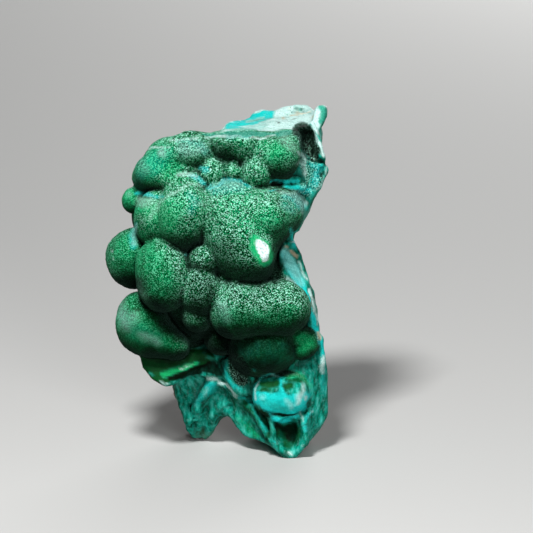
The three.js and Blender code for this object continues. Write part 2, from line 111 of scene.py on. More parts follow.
CHUNKS = {
    # name: (edge rounding, corners)
    "top_block": (0.35, [
        (1.6, 1.4, 57.4), (2.4, 4.6, 58.3), (3.8, 6.5, 58.8), (5.7, 9.4, 59.6), (7.8, 12, 60.5),
        (14, 13.6, 60.9), (11.7, 13.4, 60.5), (16.4, 13, 60.3), (17.2, 10, 60), (17.8, 4, 58.2),
        (1.6, -1.6, 56.6), (11.7, -1.8, 56.6), (15.9, -1.5, 56.6), (17.2, -0.6, 56.9),
        (18.4, 2, 52.5), (18.6, 1, 49.7), (18.1, 9, 50.8), (14.3, 14, 53.4), (5.7, 15, 51.6),
        (-2.9, 10, 51.6), (15.5, -0.5, 44.7), (13.8, 0, 39.6), (14, 10, 39.2), (4, 14, 37.8),
        (-2.9, 10, 37.8), (-0.3, 0, 37.8),
    ]),
    "left_block": (0.35, [
        (-11.2, 2, 53), (-7.2, 0, 55.4), (-2.1, -2, 55.8), (1.6, -2, 56.3), (1.6, 8, 56.6),
        (-4.7, 7, 55.8), (-9.8, 8, 53), (-11.6, 9, 38.7), (-11.6, 1, 38.7), (1.6, 0, 38.7),
        (1.6, 13, 38.7), (-4.7, 12, 48.2),
    ]),
    "middle_block": (0.35, [
        (12.2, 0, 40.4), (13.3, 3, 38.2), (13.8, 8, 35.4), (4, 14, 38.7), (-10.7, 10, 40.4),
        (-11.6, 3, 40.4), (15.2, 0, 30.1), (16, 6, 29.1), (18.1, 1, 18.9), (18.8, 3, 13.7),
        (18.1, 10, 13.7), (5.7, 16, 13.7), (-6.4, 14, 15.4), (-11.2, 8, 20.6), (-11.2, 3, 27.5),
        (-5.5, 2, 14.6), (14.3, -1, 13.7),
    ]),
    "strip_face": (0.35, [
        (11.7, -2, 37.5), (10.7, -2.8, 35.1), (11.6, -3.2, 31.8), (13.1, -3.2, 28.5),
        (14.7, -2.6, 25.1), (13.8, -0.6, 37.3), (14.8, -0.4, 34.4), (15.7, -0.4, 30.9),
        (16.2, -0.4, 27.8), (17.1, -0.4, 24.1), (12.2, 4, 37.2), (14.3, 4, 34.1),
        (15.7, 5, 27.5), (12.6, 4, 29.2),
    ]),
    "right_foot": (0.35, [
        (4, 5, 14.6), (7.8, 1, 15.1), (15.7, -1, 15.1), (18.6, 2, 17.2), (19.1, 4, 11.1),
        (19.1, 4, 7.5), (17.6, 6, 4.9), (14.1, 0.6, 1.1), (12.6, 1, 0), (13.6, 1.2, 0.3),
        (11.6, 1, 0.9), (9.1, 1.6, 2.5), (7.8, 3, 3.5), (7.8, 4, 6.8), (15.3, 19, 4.9),
        (12.9, 20, 5.1), (17.8, 12, 10.3), (7.8, 15, 10.3), (8.8, 17, 5.4),
    ]),
    "foot_lap": (0.35, [
        (3.3, 3, 10.9), (7.8, 2, 10.3), (8.4, 3, 3), (4.7, 4.5, 3.9), (4, 5, 5.3), (2.6, 5, 6.8),
        (4, 14, 10.3), (7.8, 15, 5.9), (5.3, 12, 5.8),
    ]),
    "left_foot": (0.35, [
        (-7.9, 8, 12.8), (-6.4, 5, 14.4), (-2.1, 4, 15.1), (1.6, 4, 13.4), (3.3, 5, 10.6),
        (2.2, 8, 7.8), (0.3, 9, 7.5), (-0.7, 9.4, 5.3), (-1.9, 11.2, 3), (-4, 11.2, 3),
        (-4.8, 9.4, 4.9), (-6.7, 8.8, 8.9), (-3.4, 18.2, 4.8), (-2.1, 18.2, 4.8),
        (-0.3, 15, 8.2), (-6.7, 15, 10.3), (2.6, 14, 10.3), (-4.7, 14, 14.4),
    ]),
    "bridge": (0.35, [
        (-0.9, 3, 15.1), (4, 3, 14.6), (5.7, 5, 8.5), (3.3, 7, 7.2), (0, 8, 7.2),
        (-1.2, 9, 10.3), (-0.9, 14, 13.7), (4.8, 14, 12.8), (4, 12, 7.8), (0, 13, 7.8),
    ]),
    "knob": (0.35, [
        (16.9, 2.6, 60.3), (17.4, 1.6, 61), (18.8, 1.6, 61.1), (19.1, 2.8, 60.3),
        (19, 2.4, 58.9), (17.9, 0.6, 57.2), (16.6, 5, 58.4), (18.1, 6, 60.9), (16.6, 0.6, 57.8),
        (17.1, 7, 60.3),
    ]),
    "ledge": (0.35, [
        (-13.1, 1, 18), (-12.8, 1, 16.1), (-11.4, 0, 14.2), (-9, 0, 12.7), (-7.9, 0.5, 12.8),
        (-6.7, 0, 15.1), (-1, 1, 17.3), (-2.1, 0.5, 18.4), (-11.9, 6, 18.5), (-9.8, 8, 14.1),
        (-2.9, 8, 18.5), (-2.9, 6, 16.1),
    ]),
    "patch": (0.9, [
        (1.2, -0.3, 16.8), (1.9, -0.3, 14.1), (3.8, 0, 11.1), (5.7, 0, 11.6), (6.7, -1, 15.8),
        (3.6, -1.6, 17.7), (1.6, 6, 17.2), (2.6, 6, 11.1), (6.6, 6, 11.6), (6.7, 6, 17.2),
    ]),
    "back_upper": (0.35, [
        (-9.5, 8, 53), (-10.2, 8.5, 38), (-7.5, 12.6, 51), (-9, 13, 37), (1.5, 15.2, 55.5),
        (3, 16.4, 43), (2, 15.8, 30), (11.5, 13.4, 57), (16, 9.6, 54), (14.2, 12.6, 48),
        (12.6, 14.2, 38), (12.6, 9, 36), (10.5, 14.8, 30), (-8, 12, 30), (-8, 4, 45),
    ]),
    "back_lower": (0.35, [
        (-9, 12.4, 37), (-9.8, 9, 30), (-9, 13.6, 22), (-7, 13, 13), (-3, 15.6, 36),
        (3.5, 16.9, 28), (4, 17.4, 13), (12, 15.2, 34), (14.2, 15.6, 22), (16.8, 13, 14),
        (17.4, 9, 22), (15.4, 9, 29), (12.4, 12.6, 39), (-5, 15.2, 9.5), (13, 16.6, 8.5),
    ]),
    "back_scar": (0.35, [
        (-3.5, 15, 46.5), (3.5, 15.6, 50.5), (9.8, 14.9, 42), (9.4, 16.4, 27), (2, 18.6, 20.5),
        (-5, 16.4, 24), (-6.5, 14.4, 37), (3, 17.8, 34), (2, 12, 35), (6, 12, 24), (-2, 12, 28),
    ]),
    "back_step": (0.35, [
        (-7, 14, 24), (-8, 13, 16), (-2, 17.6, 15), (-1, 17.8, 24), (-4, 16.8, 11), (-5, 10, 18),
        (0, 10, 18),
    ]),
}

RIDGES = {
    # name: stations of x, y, z, radius
    "left_foot_edge": [
        (-7.2, 7.8, 11.8, 0.6), (-6, 7.4, 9.2, 0.7), (-5, 7.8, 6.8, 0.8), (-3.8, 10.8, 3.9, 0.8),
    ],
    "left_foot_fold": [
        (-0.9, 3.4, 13.4, 1.1), (-1.9, 4.8, 11.6, 1.1), (-3.4, 6.6, 8.9, 0.9),
        (-3.3, 9, 5.8, 0.8), (-2.8, 10.9, 3.9, 0.8),
    ],
    "left_foot_hook": [
        (-0.9, 3, 13.9, 0.6), (0.9, 2.6, 13, 0.5), (2.2, 2.6, 12.2, 0.4), (3.6, 2.8, 10.8, 0.5),
    ],
    "left_foot_right": [
        (2.8, 4.6, 10.3, 0.6), (0.9, 5.8, 9.2, 0.8), (-0.5, 7, 7.7, 0.9), (-1.2, 9, 5.4, 0.8),
        (-2.1, 10.9, 3.9, 0.8),
    ],
    "right_foot_left": [
        (3.6, 3.2, 10.4, 0.6), (5.9, 2.2, 8.9, 0.7), (7.6, 1.2, 6.1, 0.6), (9.1, 0.8, 3.4, 0.6),
        (11.9, 0.7, 0.9, 0.7),
    ],
    "right_foot_keel": [
        (8.8, -0.2, 8.2, 0.5), (9.7, 0, 4.7, 0.5), (10.9, 0.5, 2, 0.6), (12.4, 1, 0.6, 0.7),
    ],
    "right_foot_right": [
        (16.4, -0.8, 9.2, 0.5), (15, -0.8, 6.5, 0.6), (15.3, -0.2, 3, 0.6),
        (13.3, 0.9, 0.8, 0.7),
    ],
    "dome_skirt": [
        (9, -0.4, 8.2, 0.5), (10, -0.8, 7.2, 0.6), (11.6, -1, 6.6, 0.7), (12.9, -0.9, 6.8, 0.6),
        (14.3, -0.8, 7.7, 0.5),
    ],
    "top_bump": [
        (13.6, 12.6, 60.4, 0.5), (14.5, 12.6, 60.6, 0.6), (15.5, 12.4, 60.4, 0.5),
    ],
    "arch_lip": [
        (0.7, 7, 8, 0.7), (2.6, 5.4, 8, 0.9), (4.1, 4.2, 6.8, 0.7),
    ],
    "rim_right": [
        (16.4, 0.4, 57.8, 0.6), (17.2, -0.6, 54.9, 0.7), (17.9, -0.4, 52.3, 0.7),
        (18.3, 0.8, 49.9, 0.7), (17.1, 0.6, 47.2, 0.7), (15.5, 0.2, 44.9, 0.7),
    ],
    "shelf_upper": [
        (9.3, -3, 48, 0.6), (11.9, -3.2, 48, 0.6), (14.1, -2.2, 48.4, 0.6),
    ],
    "shelf_lower": [
        (8.8, -3.6, 46.5, 0.6), (11.7, -3.6, 46.8, 0.6), (14.7, -2.2, 47, 0.7),
    ],
    "side_strip": [
        (15.3, -2.2, 27.7, 0.8), (16.4, -1.8, 23.7, 0.7), (17.8, -0.4, 20.6, 0.6),
        (18.1, 0.4, 16.8, 0.7),
    ],
    "cream_rim": [
        (12.2, 0.4, 36.1, 0.8), (13.4, 1.4, 34.1, 0.7), (14.5, 2, 31.3, 0.7),
        (15.7, 2.6, 28.9, 0.9), (16.7, 2.4, 25.8, 0.8), (17.1, 2, 23, 0.7),
    ],
}

HOLLOWS = [
    # name, centre, radii, turn in degrees
    ("cap_recess", (15.7, -4.6, 54.7), (1.8, 6.8, 4), 10),
    ("foot_scoop", (12.2, -1.6, 4.4), (2.2, 3.6, 2.9), 0),
    ("arch", (1, 4, 4.1), (1.6, 30, 3), 0),
]

GROOVES = [
    # radius, stations of x, y, z
    (0.35, [(5.2, 2.6, 8.4), (6.7, 1.6, 5.9), (8.4, 1.4, 3.2)]),
    (0.3, [(4.5, 3.4, 8.2), (6, 2.6, 5.8), (7.8, 2, 3.5)]),
    (0.55, [(0.3, 3, 12.3), (1.2, 3.2, 11.5), (1.6, 3.6, 10.8)]),
    (0.6, [(-0.7, 4.6, 10.3), (-1.9, 5.8, 8.5), (-2.1, 7, 6.1)]),
    (0.4, [(-5.3, 7.6, 10.9), (-4.3, 7.4, 8.2), (-4.1, 8.4, 5.4)]),
    (0.35, [(10.2, -1.8, 46.3), (12.6, -2.2, 46.6), (15, -1.8, 46.5)]),
    (0.35, [(8.8, -2.8, 46.8), (11.2, -2.8, 47.2), (14, -2, 47.5)]),
    (0.4, [(16, -0.6, 51.6), (17.6, -0.4, 51.6), (18.6, 0.6, 51.1)]),
    (0.5, [(18.1, 0.2, 50.3), (17.9, 0.2, 49.1)]),
    (0.3, [(16.6, -1.2, 11.3), (16.2, -1, 8.5)]),
    (0.25, [(14.3, -1.6, 34.7), (15.3, -1.8, 31.6), (16.4, -1.6, 28.2), (17.2, -0.8, 24.4)]),
]

# Depths in y between which a stroke takes hold.
FRONT = (-16, 5)
FACE = (-16, 3)
ROUND = (-16, 9)
THROUGH = (-16, 24)
SIDE = (-5, 3)
NUB = (-16, -6)

# Paint on the face, laid on in this order.
STROKES = [
    # zone, strength, softness, depth range, stations of x, z, radius
    ("cyan", 1.25, 0.3, THROUGH, [(1.7, 57.3, 0.41), (6.2, 58.9, 1), (8.1, 59.5, 1), (9.3, 59.8, 0.72)]),
    ("teal", 0.8, 0.3, THROUGH, [(5, 58.3, 0.17), (8.1, 59.1, 0.21)]),
    ("cyan", 0.35, 0.7, THROUGH, [(1.9, 57, 0.34), (4.8, 57.2, 0.52), (7.8, 57.8, 0.86)]),
    ("teal", 1, 0.2, FRONT, [
        (-2.1, 55.9, 0.28), (1.2, 56, 0.28), (2.9, 56.1, 0.52), (5.3, 56.1, 0.6), (7.4, 56, 0.45),
    ]),
    ("teal", 1, 0.2, FRONT, [(7.4, 56, 0.41), (9.1, 56.1, 0.24), (10.9, 56.1, 0.48), (12.6, 56.5, 0.45)]),
    ("pale", 1, 0.2, FRONT, [(-1.9, 55.3, 0.14), (-0.2, 55.8, 0.16), (7.4, 55.3, 0.16), (10, 56, 0.1)]),
    ("cyan", 0.6, 0.3, FRONT, [(1.6, 55.6, 0.21), (6, 55.5, 0.17)]),
    ("brown", 0.6, 0.1, FRONT, [(5.7, 55.4, 0.05), (9.1, 55.8, 0.07)]),
    ("pale", 0.85, 0.2, FRONT, [(-11.9, 53.5, 0.17), (-11, 54, 0.17), (-8.4, 53.8, 0.14)]),
    ("pale", 0.8, 0.2, FRONT, [(-7.9, 54.9, 0.14), (-3.3, 55.3, 0.24)]),
    ("cyan", 0.35, 0.7, FRONT, [
        (-6.7, 54.9, 0.24), (-4.7, 54.7, 0.52), (-2.6, 54.1, 0.86), (-1.9, 53, 0.69),
    ]),
    ("dark_marks_and_painted_shade", 0.8, 0.2, THROUGH, [(13.1, 58.6, 0.1), (13.6, 58.8, 0.09)]),
    ("dark_marks_and_painted_shade", 1.1, 0.2, THROUGH, [(10.5, 58.3, 0.14)]),
    ("dark_marks_and_painted_shade", 0.8, 0.2, THROUGH, [(15, 60.2, 0.1)]),
    ("cream", 0.8, 0.2, THROUGH, [(12.8, 59.5, 0.12), (16, 60.2, 0.12)]),
    ("cream", 0.9, 0.3, THROUGH, [(11.6, 59.1, 0.28)]),
    ("cream", 0.7, 0.2, THROUGH, [(13.8, 59.9, 0.14), (14.7, 59.7, 0.12)]),
    ("cream", 0.8, 0.3, THROUGH, [(16.6, 59.1, 0.21)]),
    ("teal", 0.95, 0.3, THROUGH, [
        (17.9, 60.8, 0.52), (18.6, 60.4, 0.59), (18.4, 59.2, 0.59), (17.8, 58.2, 0.34),
    ]),
    ("pale", 0.8, 0.3, THROUGH, [(17.2, 60.3, 0.24), (17.4, 59.2, 0.28)]),
    # the recess under the top rim: velvety crust, deepened to near black as painted shade
    ("velvet_and_painted_shade", 1.15, 0.3, FRONT, [
        (13.6, 56.8, 0.69), (14.8, 57.5, 1), (15.5, 55.4, 1.4), (16.2, 53.5, 1.4), (16.6, 52.3, 0.69),
    ]),
    ("dark_marks_and_painted_shade", 0.95, 0.5, FRONT, [(13.8, 56.6, 0.69), (15, 57, 0.86), (15.7, 55.1, 1.2), (16.4, 53, 1)]),
    ("pale", 1, 0.2, FACE, [(16, 57.5, 0.14), (18, 53.9, 0.38), (18.4, 52.5, 0.31)]),
    ("dark_marks_and_painted_shade", 1, 0.2, FRONT, [(16.2, 51.8, 0.21), (17.6, 51.5, 0.34), (18.6, 51, 0.17)]),
    ("dark_marks_and_painted_shade", 1, 0.2, FRONT, [(18.4, 49.6, 0.21), (18.1, 48.9, 0.24)]),
    ("cyan", 0.75, 0.5, FACE, [(16.4, 50.9, 0.34), (17.8, 50.3, 0.59), (16.7, 47.5, 0.69)]),
    ("pale", 0.6, 0.2, FACE, [
        (18.8, 50.6, 0.14), (18.8, 49.1, 0.16), (18.1, 47.5, 0.14), (17.1, 46.3, 0.14),
    ]),
    ("cream", 0.7, 0.2, THROUGH, [(12.4, 60.7, 0.16)]),
    ("mottle", 0.95, 0.5, FRONT, [
        (14.8, 52, 0.86), (16.2, 50.3, 1.6), (16.9, 48.2, 1.6), (15.2, 46.5, 1.2),
    ]),
    ("pale", 0.7, 0.3, FACE, [(14, 53, 0.28), (15, 52, 0.38), (15.3, 49.1, 0.31)]),
    ("pale", 0.5, 0.3, FRONT, [(14.1, 51.1, 0.45)]),
    ("cyan", 1.1, 0.2, FRONT, [(9.3, 48.1, 0.21), (11.6, 47.8, 0.38), (14, 47.9, 0.21)]),
    ("cyan", 1, 0.2, FRONT, [(9.1, 46.1, 0.17), (10.2, 46.5, 0.16)]),
    ("cyan", 0.8, 0.3, FACE, [(11.6, 47.1, 0.21), (14.5, 46.5, 0.52), (15.9, 46.5, 0.52)]),
    ("dark_marks_and_painted_shade", 1, 0.2, FRONT, [(9, 46.5, 0.14), (11.6, 47.2, 0.12)]),
    ("dark_marks_and_painted_shade", 1, 0.2, FRONT, [(10, 46.2, 0.1), (10.9, 46.4, 0.12)]),
    ("dark_marks_and_painted_shade", 0.9, 0.2, FRONT, [(11.9, 46.7, 0.1), (12.8, 46.3, 0.1)]),
    ("dark_marks_and_painted_shade", 0.7, 0.2, FRONT, [(13.6, 47.4, 0.14), (14.3, 47.7, 0.17)]),
    ("pale", 0.8, 0.5, FACE, [
        (10.7, 46.2, 0.16), (11.9, 45.9, 0.21), (13.6, 45.4, 0.69), (14.8, 44.2, 0.69),
        (14.8, 42.8, 0.45),
    ]),
    ("cyan", 0.6, 0.7, FACE, [(11.6, 45.4, 0.52), (13.6, 44.9, 1), (14.8, 43.4, 0.69)]),
    ("cyan", 0.3, 0.9, FRONT, [(11.6, 43.9, 0.69), (12.9, 43, 0.69)]),
    ("teal", 0.7, 0.3, FRONT, [(15.3, 43.4, 0.28), (14.8, 40.9, 0.34), (14, 39.6, 0.34)]),
    ("cyan", 0.8, 0.3, FRONT, [(12.8, 39.7, 0.41), (13.1, 38.2, 0.52), (13.3, 36.8, 0.38)]),
    ("dark_marks_and_painted_shade", 0.7, 0.2, FRONT, [(12.4, 38.5, 0.1), (12.1, 37.3, 0.14)]),
    ("bright", 0.35, 1, FRONT, [(8.3, 54.4, 0.86), (10, 53, 1.2)]),
    ("pale", 0.28, 1, FRONT, [(11.7, 55.1, 1), (13.1, 53.7, 0.86)]),
    ("darkgreen", 0.45, 0.9, FRONT, [(9.1, 50.6, 1), (11.2, 50.3, 1.4), (13.3, 50.6, 1)]),
    # painted shade low on the cap lobes
    ("dark_marks_and_painted_shade", 0.45, 0.7, FRONT, [(10.2, 49.4, 0.69), (11.9, 49.4, 0.86)]),
    ("cyan", 0.9, 0.3, FRONT, [(-2.8, 50.3, 0.41), (-1.9, 50.1, 0.34)]),
    ("cyan", 1, 0.3, FRONT, [(-4, 49.1, 0.34), (-3.1, 48.7, 0.38), (-2.4, 47.8, 0.34), (-1.9, 47.3, 0.17)]),
    ("pale", 0.6, 0.4, FRONT, [(-6.7, 49, 0.34), (-5.3, 49.2, 0.45), (-4.1, 49.1, 0.34)]),
    # painted shade in the creases under the brow
    ("dark_marks_and_painted_shade", 0.85, 0.3, FRONT, [(-6.9, 49.9, 0.17), (-3.3, 49.8, 0.17), (-1.9, 48.2, 0.34)]),
    ("dark_marks_and_painted_shade", 1.1, 0.2, FRONT, [(-1.6, 47.3, 0.34)]),
    ("cyan", 1, 0.3, FRONT, [
        (-1.4, 46.8, 0.24), (0, 47.2, 0.31), (1.2, 48.1, 0.34), (4, 48.1, 0.34), (5.7, 46.8, 0.21),
    ]),
    ("pale", 0.45, 0.7, FRONT, [(-0.9, 46.8, 0.34), (1.2, 47.5, 0.59), (3.6, 47.3, 0.69)]),
    ("cyan", 0.45, 0.9, FRONT, [(-0.5, 46.1, 0.52), (1.9, 46.8, 0.86), (4, 46.8, 0.86)]),
    ("pale", 0.5, 0.4, FRONT, [
        (-2.2, 47.1, 0.17), (-3.6, 47.4, 0.17), (-5.3, 47.3, 0.21), (-9.8, 44.4, 0.34),
        (-10.5, 42.8, 0.45), (-11.4, 41.5, 0.34),
    ]),
    ("pale", 0.4, 0.7, FRONT, [(-13.3, 44.1, 0.52), (-11.9, 44.2, 0.69), (-10.5, 44.6, 0.52)]),
    ("cyan", 1, 0.3, FRONT, [
        (-13.8, 46, 0.28), (-12.2, 45.9, 0.28), (-10.9, 45.3, 0.31), (-9.3, 45.4, 0.21),
    ]),
    ("dark_marks_and_painted_shade", 0.7, 0.2, FRONT, [(-13.3, 45.3, 0.14), (-11.6, 45, 0.17)]),
    ("pale", 0.55, 0.7, FRONT, [(-9.5, 52.8, 0.69)]),
    ("pale", 0.18, 1, FRONT, [(-12.9, 51.1, 0.52), (-12.2, 49.9, 0.69)]),
    ("pale", 0.3, 1, FRONT, [(-6.4, 53.4, 0.69), (-4.3, 53, 0.86), (-2.8, 53.5, 0.86)]),
    # painted shade on the crown lobes, which sit back under the rim
    ("dark_marks_and_painted_shade", 0.6, 0.7, FRONT, [(1.2, 53, 0.86), (4.1, 50.9, 0.52), (5.7, 51.8, 0.34)]),
    ("cyan", 0.3, 1, FRONT, [(-4.7, 45.6, 0.69), (-3.6, 44.4, 0.69), (-4.3, 42.7, 0.52)]),
    ("pale", 0.7, 0.2, FRONT, [(-5.2, 41.1, 0.17)]),
    ("bright", 0.35, 1.4, FRONT, [(-8.1, 42.2, 1.4), (-8.8, 39.9, 1.4)]),
    # painted shade under the middle left lobe
    ("dark_marks_and_painted_shade", 0.5, 0.7, FRONT, [(-7.8, 37, 0.52), (-5.7, 36.6, 0.69), (-3.6, 37.3, 0.52)]),
    ("cyan", 1, 0.2, FRONT, [(-5.2, 35.4, 0.24)]),
    ("pale", 0.75, 0.4, ROUND, [(-14, 40.1, 0.28), (-14.5, 38.7, 0.48), (-14.3, 37.2, 0.41)]),
    ("cyan", 0.6, 0.5, ROUND, [(-14, 40.3, 0.34), (-14.7, 38.5, 0.69), (-14.3, 36.8, 0.52)]),
    ("pale", 0.6, 0.2, ROUND, [(-18.1, 35.9, 0.21)]),
    ("pale", 0.6, 0.2, ROUND, [(-17.9, 34.7, 0.24)]),
    ("pale", 0.25, 0.7, ROUND, [(-15.3, 45.6, 0.52)]),
    ("bright", 0.95, 0.5, FRONT, [(6.6, 38.2, 0.69), (7.2, 36.5, 1.6), (8.1, 35.1, 1.6)]),
    ("chip", 1.3, 0.2, NUB, [(7.2, 37.2, 0.72), (7.8, 36.1, 1), (8.3, 34.9, 0.66)]),
    ("cyan", 1.1, 0.3, SIDE, [
        (11.4, 35.8, 0.52), (12.2, 34.4, 0.86), (13.6, 32, 1), (15.7, 27.5, 0.38), (16.9, 23.2, 0.48),
        (18.1, 19.2, 0.28), (18.3, 17.5, 0.41),
    ]),
    ("pale", 0.5, 0.7, SIDE, [
        (11.4, 36.1, 0.52), (12.4, 34.1, 0.86), (13.8, 32, 0.86), (14.5, 30.3, 0.52),
    ]),
    ("pale", 0.7, 0.3, SIDE, [(12.2, 31.1, 0.34), (13.3, 30.4, 0.45)]),
    ("cream", 1, 0.2, SIDE, [(11.9, 36.7, 0.21), (12.2, 36.4, 0.17)]),
    ("cream", 1.2, 0.2, SIDE, [(12.8, 35.8, 0.34), (13.6, 35.4, 0.31)]),
    ("pale", 0.8, 0.2, SIDE, [(14.1, 34.2, 0.17), (15.5, 30.9, 0.17)]),
    ("dark_marks_and_painted_shade", 0.6, 0.2, ROUND, [(13.6, 34.1, 0.07), (15.2, 30.8, 0.07)]),
    ("pale", 1.3, 0.2, SIDE, [(16, 29.1, 0.28), (17.9, 23, 0.26)]),
    ("darkgreen", 0.7, 0.2, ROUND, [(16.8, 28.2, 0.12), (17.3, 25.3, 0.16)]),
    ("brown", 0.85, 0.1, SIDE, [(16, 28, 0.07), (16.7, 25.4, 0.07)]),
    ("cream", 0.9, 0.2, SIDE, [(17.2, 21.8, 0.21), (17.6, 20.9, 0.24)]),
    # bright green on the corner lobe, partly its own colour and partly painted light
    ("bright", 0.8, 1, FRONT, [(14.3, 21.1, 1), (15.9, 20.1, 1.2), (14.7, 18.9, 0.86)]),
    ("cyan", 0.8, 0.4, FACE, [(17.9, 18.5, 0.28), (18.3, 16.8, 0.52), (18.8, 9.4, 0.41)]),
    ("pale", 1, 0.3, FACE, [(17.9, 16.1, 0.28), (18.3, 17.5, 0.31), (18.3, 15.1, 0.38)]),
    ("pale", 0.5, 0.3, FACE, [(18.8, 10.9, 0.17), (18.8, 7.7, 0.17)]),
    # painted shade under the corner lobe
    ("dark_marks_and_painted_shade", 0.7, 0.5, FRONT, [(15.2, 17.5, 0.52), (14.3, 16.1, 0.69), (16.2, 17.8, 0.34)]),
    ("darkgreen", 1.1, 0.3, FRONT, [
        (-11.6, 17.2, 2.1), (-9.8, 14.9, 2.2), (-4.3, 17.2, 1.9), (-1.7, 17.7, 1.2),
    ]),
    ("bright", 1, 0.3, FRONT, [(-9.1, 14.6, 0.69), (-4.3, 16.3, 0.55), (-3.3, 16.8, 0.34)]),
    ("pale", 0.45, 0.2, FRONT, [(-5.7, 16.1, 0.14), (-3.8, 16.7, 0.14)]),
    ("teal", 0.9, 0.2, FRONT, [(-11.7, 14.9, 0.28), (-11.2, 14.4, 0.17)]),
    ("pale", 0.7, 0.2, FRONT, [(-9.7, 13.4, 0.14), (-9, 12.8, 0.16), (-8.3, 13.1, 0.12)]),
    # painted shade under the ledge
    ("dark_marks_and_painted_shade", 1.1, 0.3, FRONT, [(-8.1, 13.9, 0.41), (-3.6, 15.4, 0.69), (-0.9, 16.1, 1), (0.2, 14.7, 0.52)]),
    ("teal", 0.8, 0.3, FRONT, [(-1.4, 17.7, 0.41), (-1, 17.2, 0.24)]),
    ("teal", 0.6, 0.3, FRONT, [(-2.4, 18.4, 0.28)]),
    ("teal", 0.5, 0.9, FRONT, [(-6.4, 12.5, 1), (-4.3, 13, 1.2), (-2.9, 13.7, 0.86)]),
    ("cyan", 0.85, 0.5, FRONT, [
        (-1.9, 12.7, 0.69), (-0.7, 12.3, 0.86), (-1.9, 11.3, 0.69), (-3.4, 10.4, 0.69), (-4.5, 8.9, 0.69),
    ]),
    ("pale", 0.85, 0.3, FRONT, [(-1.7, 13.9, 0.38), (-0.7, 13.9, 0.41), (0, 13.6, 0.24)]),
    ("pale", 0.4, 0.3, FRONT, [(-1.9, 12.3, 0.24), (-2.4, 10.9, 0.21)]),
    ("pale", 1, 0.2, FRONT, [(0.2, 13.1, 0.19), (1.6, 12.8, 0.21), (3.3, 10.8, 0.28)]),
    ("cyan", 0.9, 0.2, FRONT, [
        (3.6, 10.8, 0.24), (4.8, 10.4, 0.21), (5.9, 9.4, 0.21), (7.4, 6.3, 0.24), (8.6, 4.7, 0.24),
    ]),
    ("dark_marks_and_painted_shade", 1.2, 0.2, FRONT, [(1, 12.2, 0.24), (1.4, 11.3, 0.29), (1, 10.6, 0.21)]),
    ("dark_marks_and_painted_shade", 0.7, 0.3, FRONT, [(-0.7, 9.9, 0.17), (-2.1, 8.2, 0.28), (-1.9, 6.6, 0.24)]),
    ("pale", 0.6, 0.3, FRONT, [(-4.7, 10.1, 0.21), (-4.7, 5.6, 0.31)]),
    ("cyan", 0.9, 0.3, FRONT, [(-3.4, 9.9, 0.17), (-4, 9.1, 0.21), (-3.4, 6.1, 0.28)]),
    ("pale", 0.4, 0.5, FRONT, [(-6, 10.6, 0.41), (-5.9, 9.7, 0.34)]),
    ("pale", 0.45, 0.5, FRONT, [(-1, 8.2, 0.52), (-0.3, 8.7, 0.52)]),
    ("cyan", 0.7, 0.2, FRONT, [(0, 7.8, 0.21), (-0.9, 5.1, 0.17)]),
    ("cyan", 0.6, 0.3, FRONT, [(0.5, 9.6, 0.24), (0.3, 8.4, 0.34)]),
    ("pale", 0.45, 0.3, FRONT, [(-4, 4.2, 0.28)]),
    ("cream", 1.2, 0.2, FRONT, [(0.9, 7.7, 0.24), (1.9, 7.6, 0.28)]),
    ("cyan", 0.6, 0.2, FRONT, [(0.3, 7.9, 0.24)]),
    # the velvety patch below the long lobes, in painted shade
    ("velvet_and_painted_shade", 1.1, 0.4, FRONT, [(3.3, 17.2, 1.4), (4, 15.1, 1.7), (4.5, 13.5, 1)]),
    ("dark_marks_and_painted_shade", 0.6, 0.7, FRONT, [(3.6, 16.8, 1.2), (4.3, 14.7, 1.4), (4.5, 13.2, 0.86)]),
    ("cyan", 0.6, 0.4, FRONT, [
        (1.6, 16.5, 0.21), (1.2, 15.4, 0.31), (1.9, 13.9, 0.34), (2.9, 12.7, 0.38), (4, 12.3, 0.34),
    ]),
    ("cyan", 0.45, 0.3, FRONT, [(6.4, 15.6, 0.28), (6.7, 15.1, 0.21)]),
    ("dark_marks_and_painted_shade", 0.7, 0.5, FRONT, [(5.2, 12.2, 0.52), (5.7, 10.8, 0.52), (5.9, 13.7, 0.34)]),
    ("bright", 0.65, 0.5, FRONT, [(3.4, 7, 0.52), (5, 5.4, 0.86), (6.7, 4.1, 0.69)]),
    ("dark_marks_and_painted_shade", 0.7, 0.3, FRONT, [(5.7, 6.6, 0.17), (7.1, 4.9, 0.34), (8.6, 3.2, 0.28)]),
    ("darkgreen", 0.7, 0.5, FRONT, [(7.8, 8.2, 0.52), (8.4, 6.1, 0.69), (9.1, 4.1, 0.52)]),
    ("dark_marks_and_painted_shade", 0.5, 0.3, FRONT, [(7.2, 9.2, 0.24), (7.9, 7.8, 0.24)]),
    ("cyan", 1.3, 0.3, FACE, [
        (7.2, 10.6, 1.2), (9.1, 9.9, 1.7), (11.6, 9.6, 1.8), (13.8, 9.6, 1.7), (15.2, 10.8, 0.86),
    ]),
    ("cyan", 1, 0.3, FRONT, [(10.9, 13.7, 0.24), (11.2, 11.5, 0.41)]),
    ("cyan", 0.75, 0.4, FRONT, [
        (6.4, 9.4, 0.31), (6.3, 11.3, 0.31), (6.7, 13, 0.28), (7.6, 14.2, 0.24), (9.1, 14.6, 0.24),
        (10.9, 14.4, 0.28),
    ]),
    ("pale", 0.7, 0.2, FRONT, [(6.5, 10.4, 0.14), (6.6, 12.2, 0.17), (7.2, 13.5, 0.14)]),
    ("pale", 0.4, 0.3, FRONT, [(9.5, 14.5, 0.16), (10.7, 14.3, 0.17)]),
    ("bright", 0.6, 0.7, FRONT, [(12.6, 14.4, 0.59), (13.8, 14.5, 0.69), (14.7, 13.9, 0.69)]),
    ("darkgreen", 1.15, 0.6, FRONT, [(7.8, 13, 0.52), (10.2, 13, 0.52)]),
    ("darkgreen", 1, 0.5, FRONT, [(7.6, 12, 0.28), (8.4, 12.2, 0.34), (9.7, 12.2, 0.17)]),
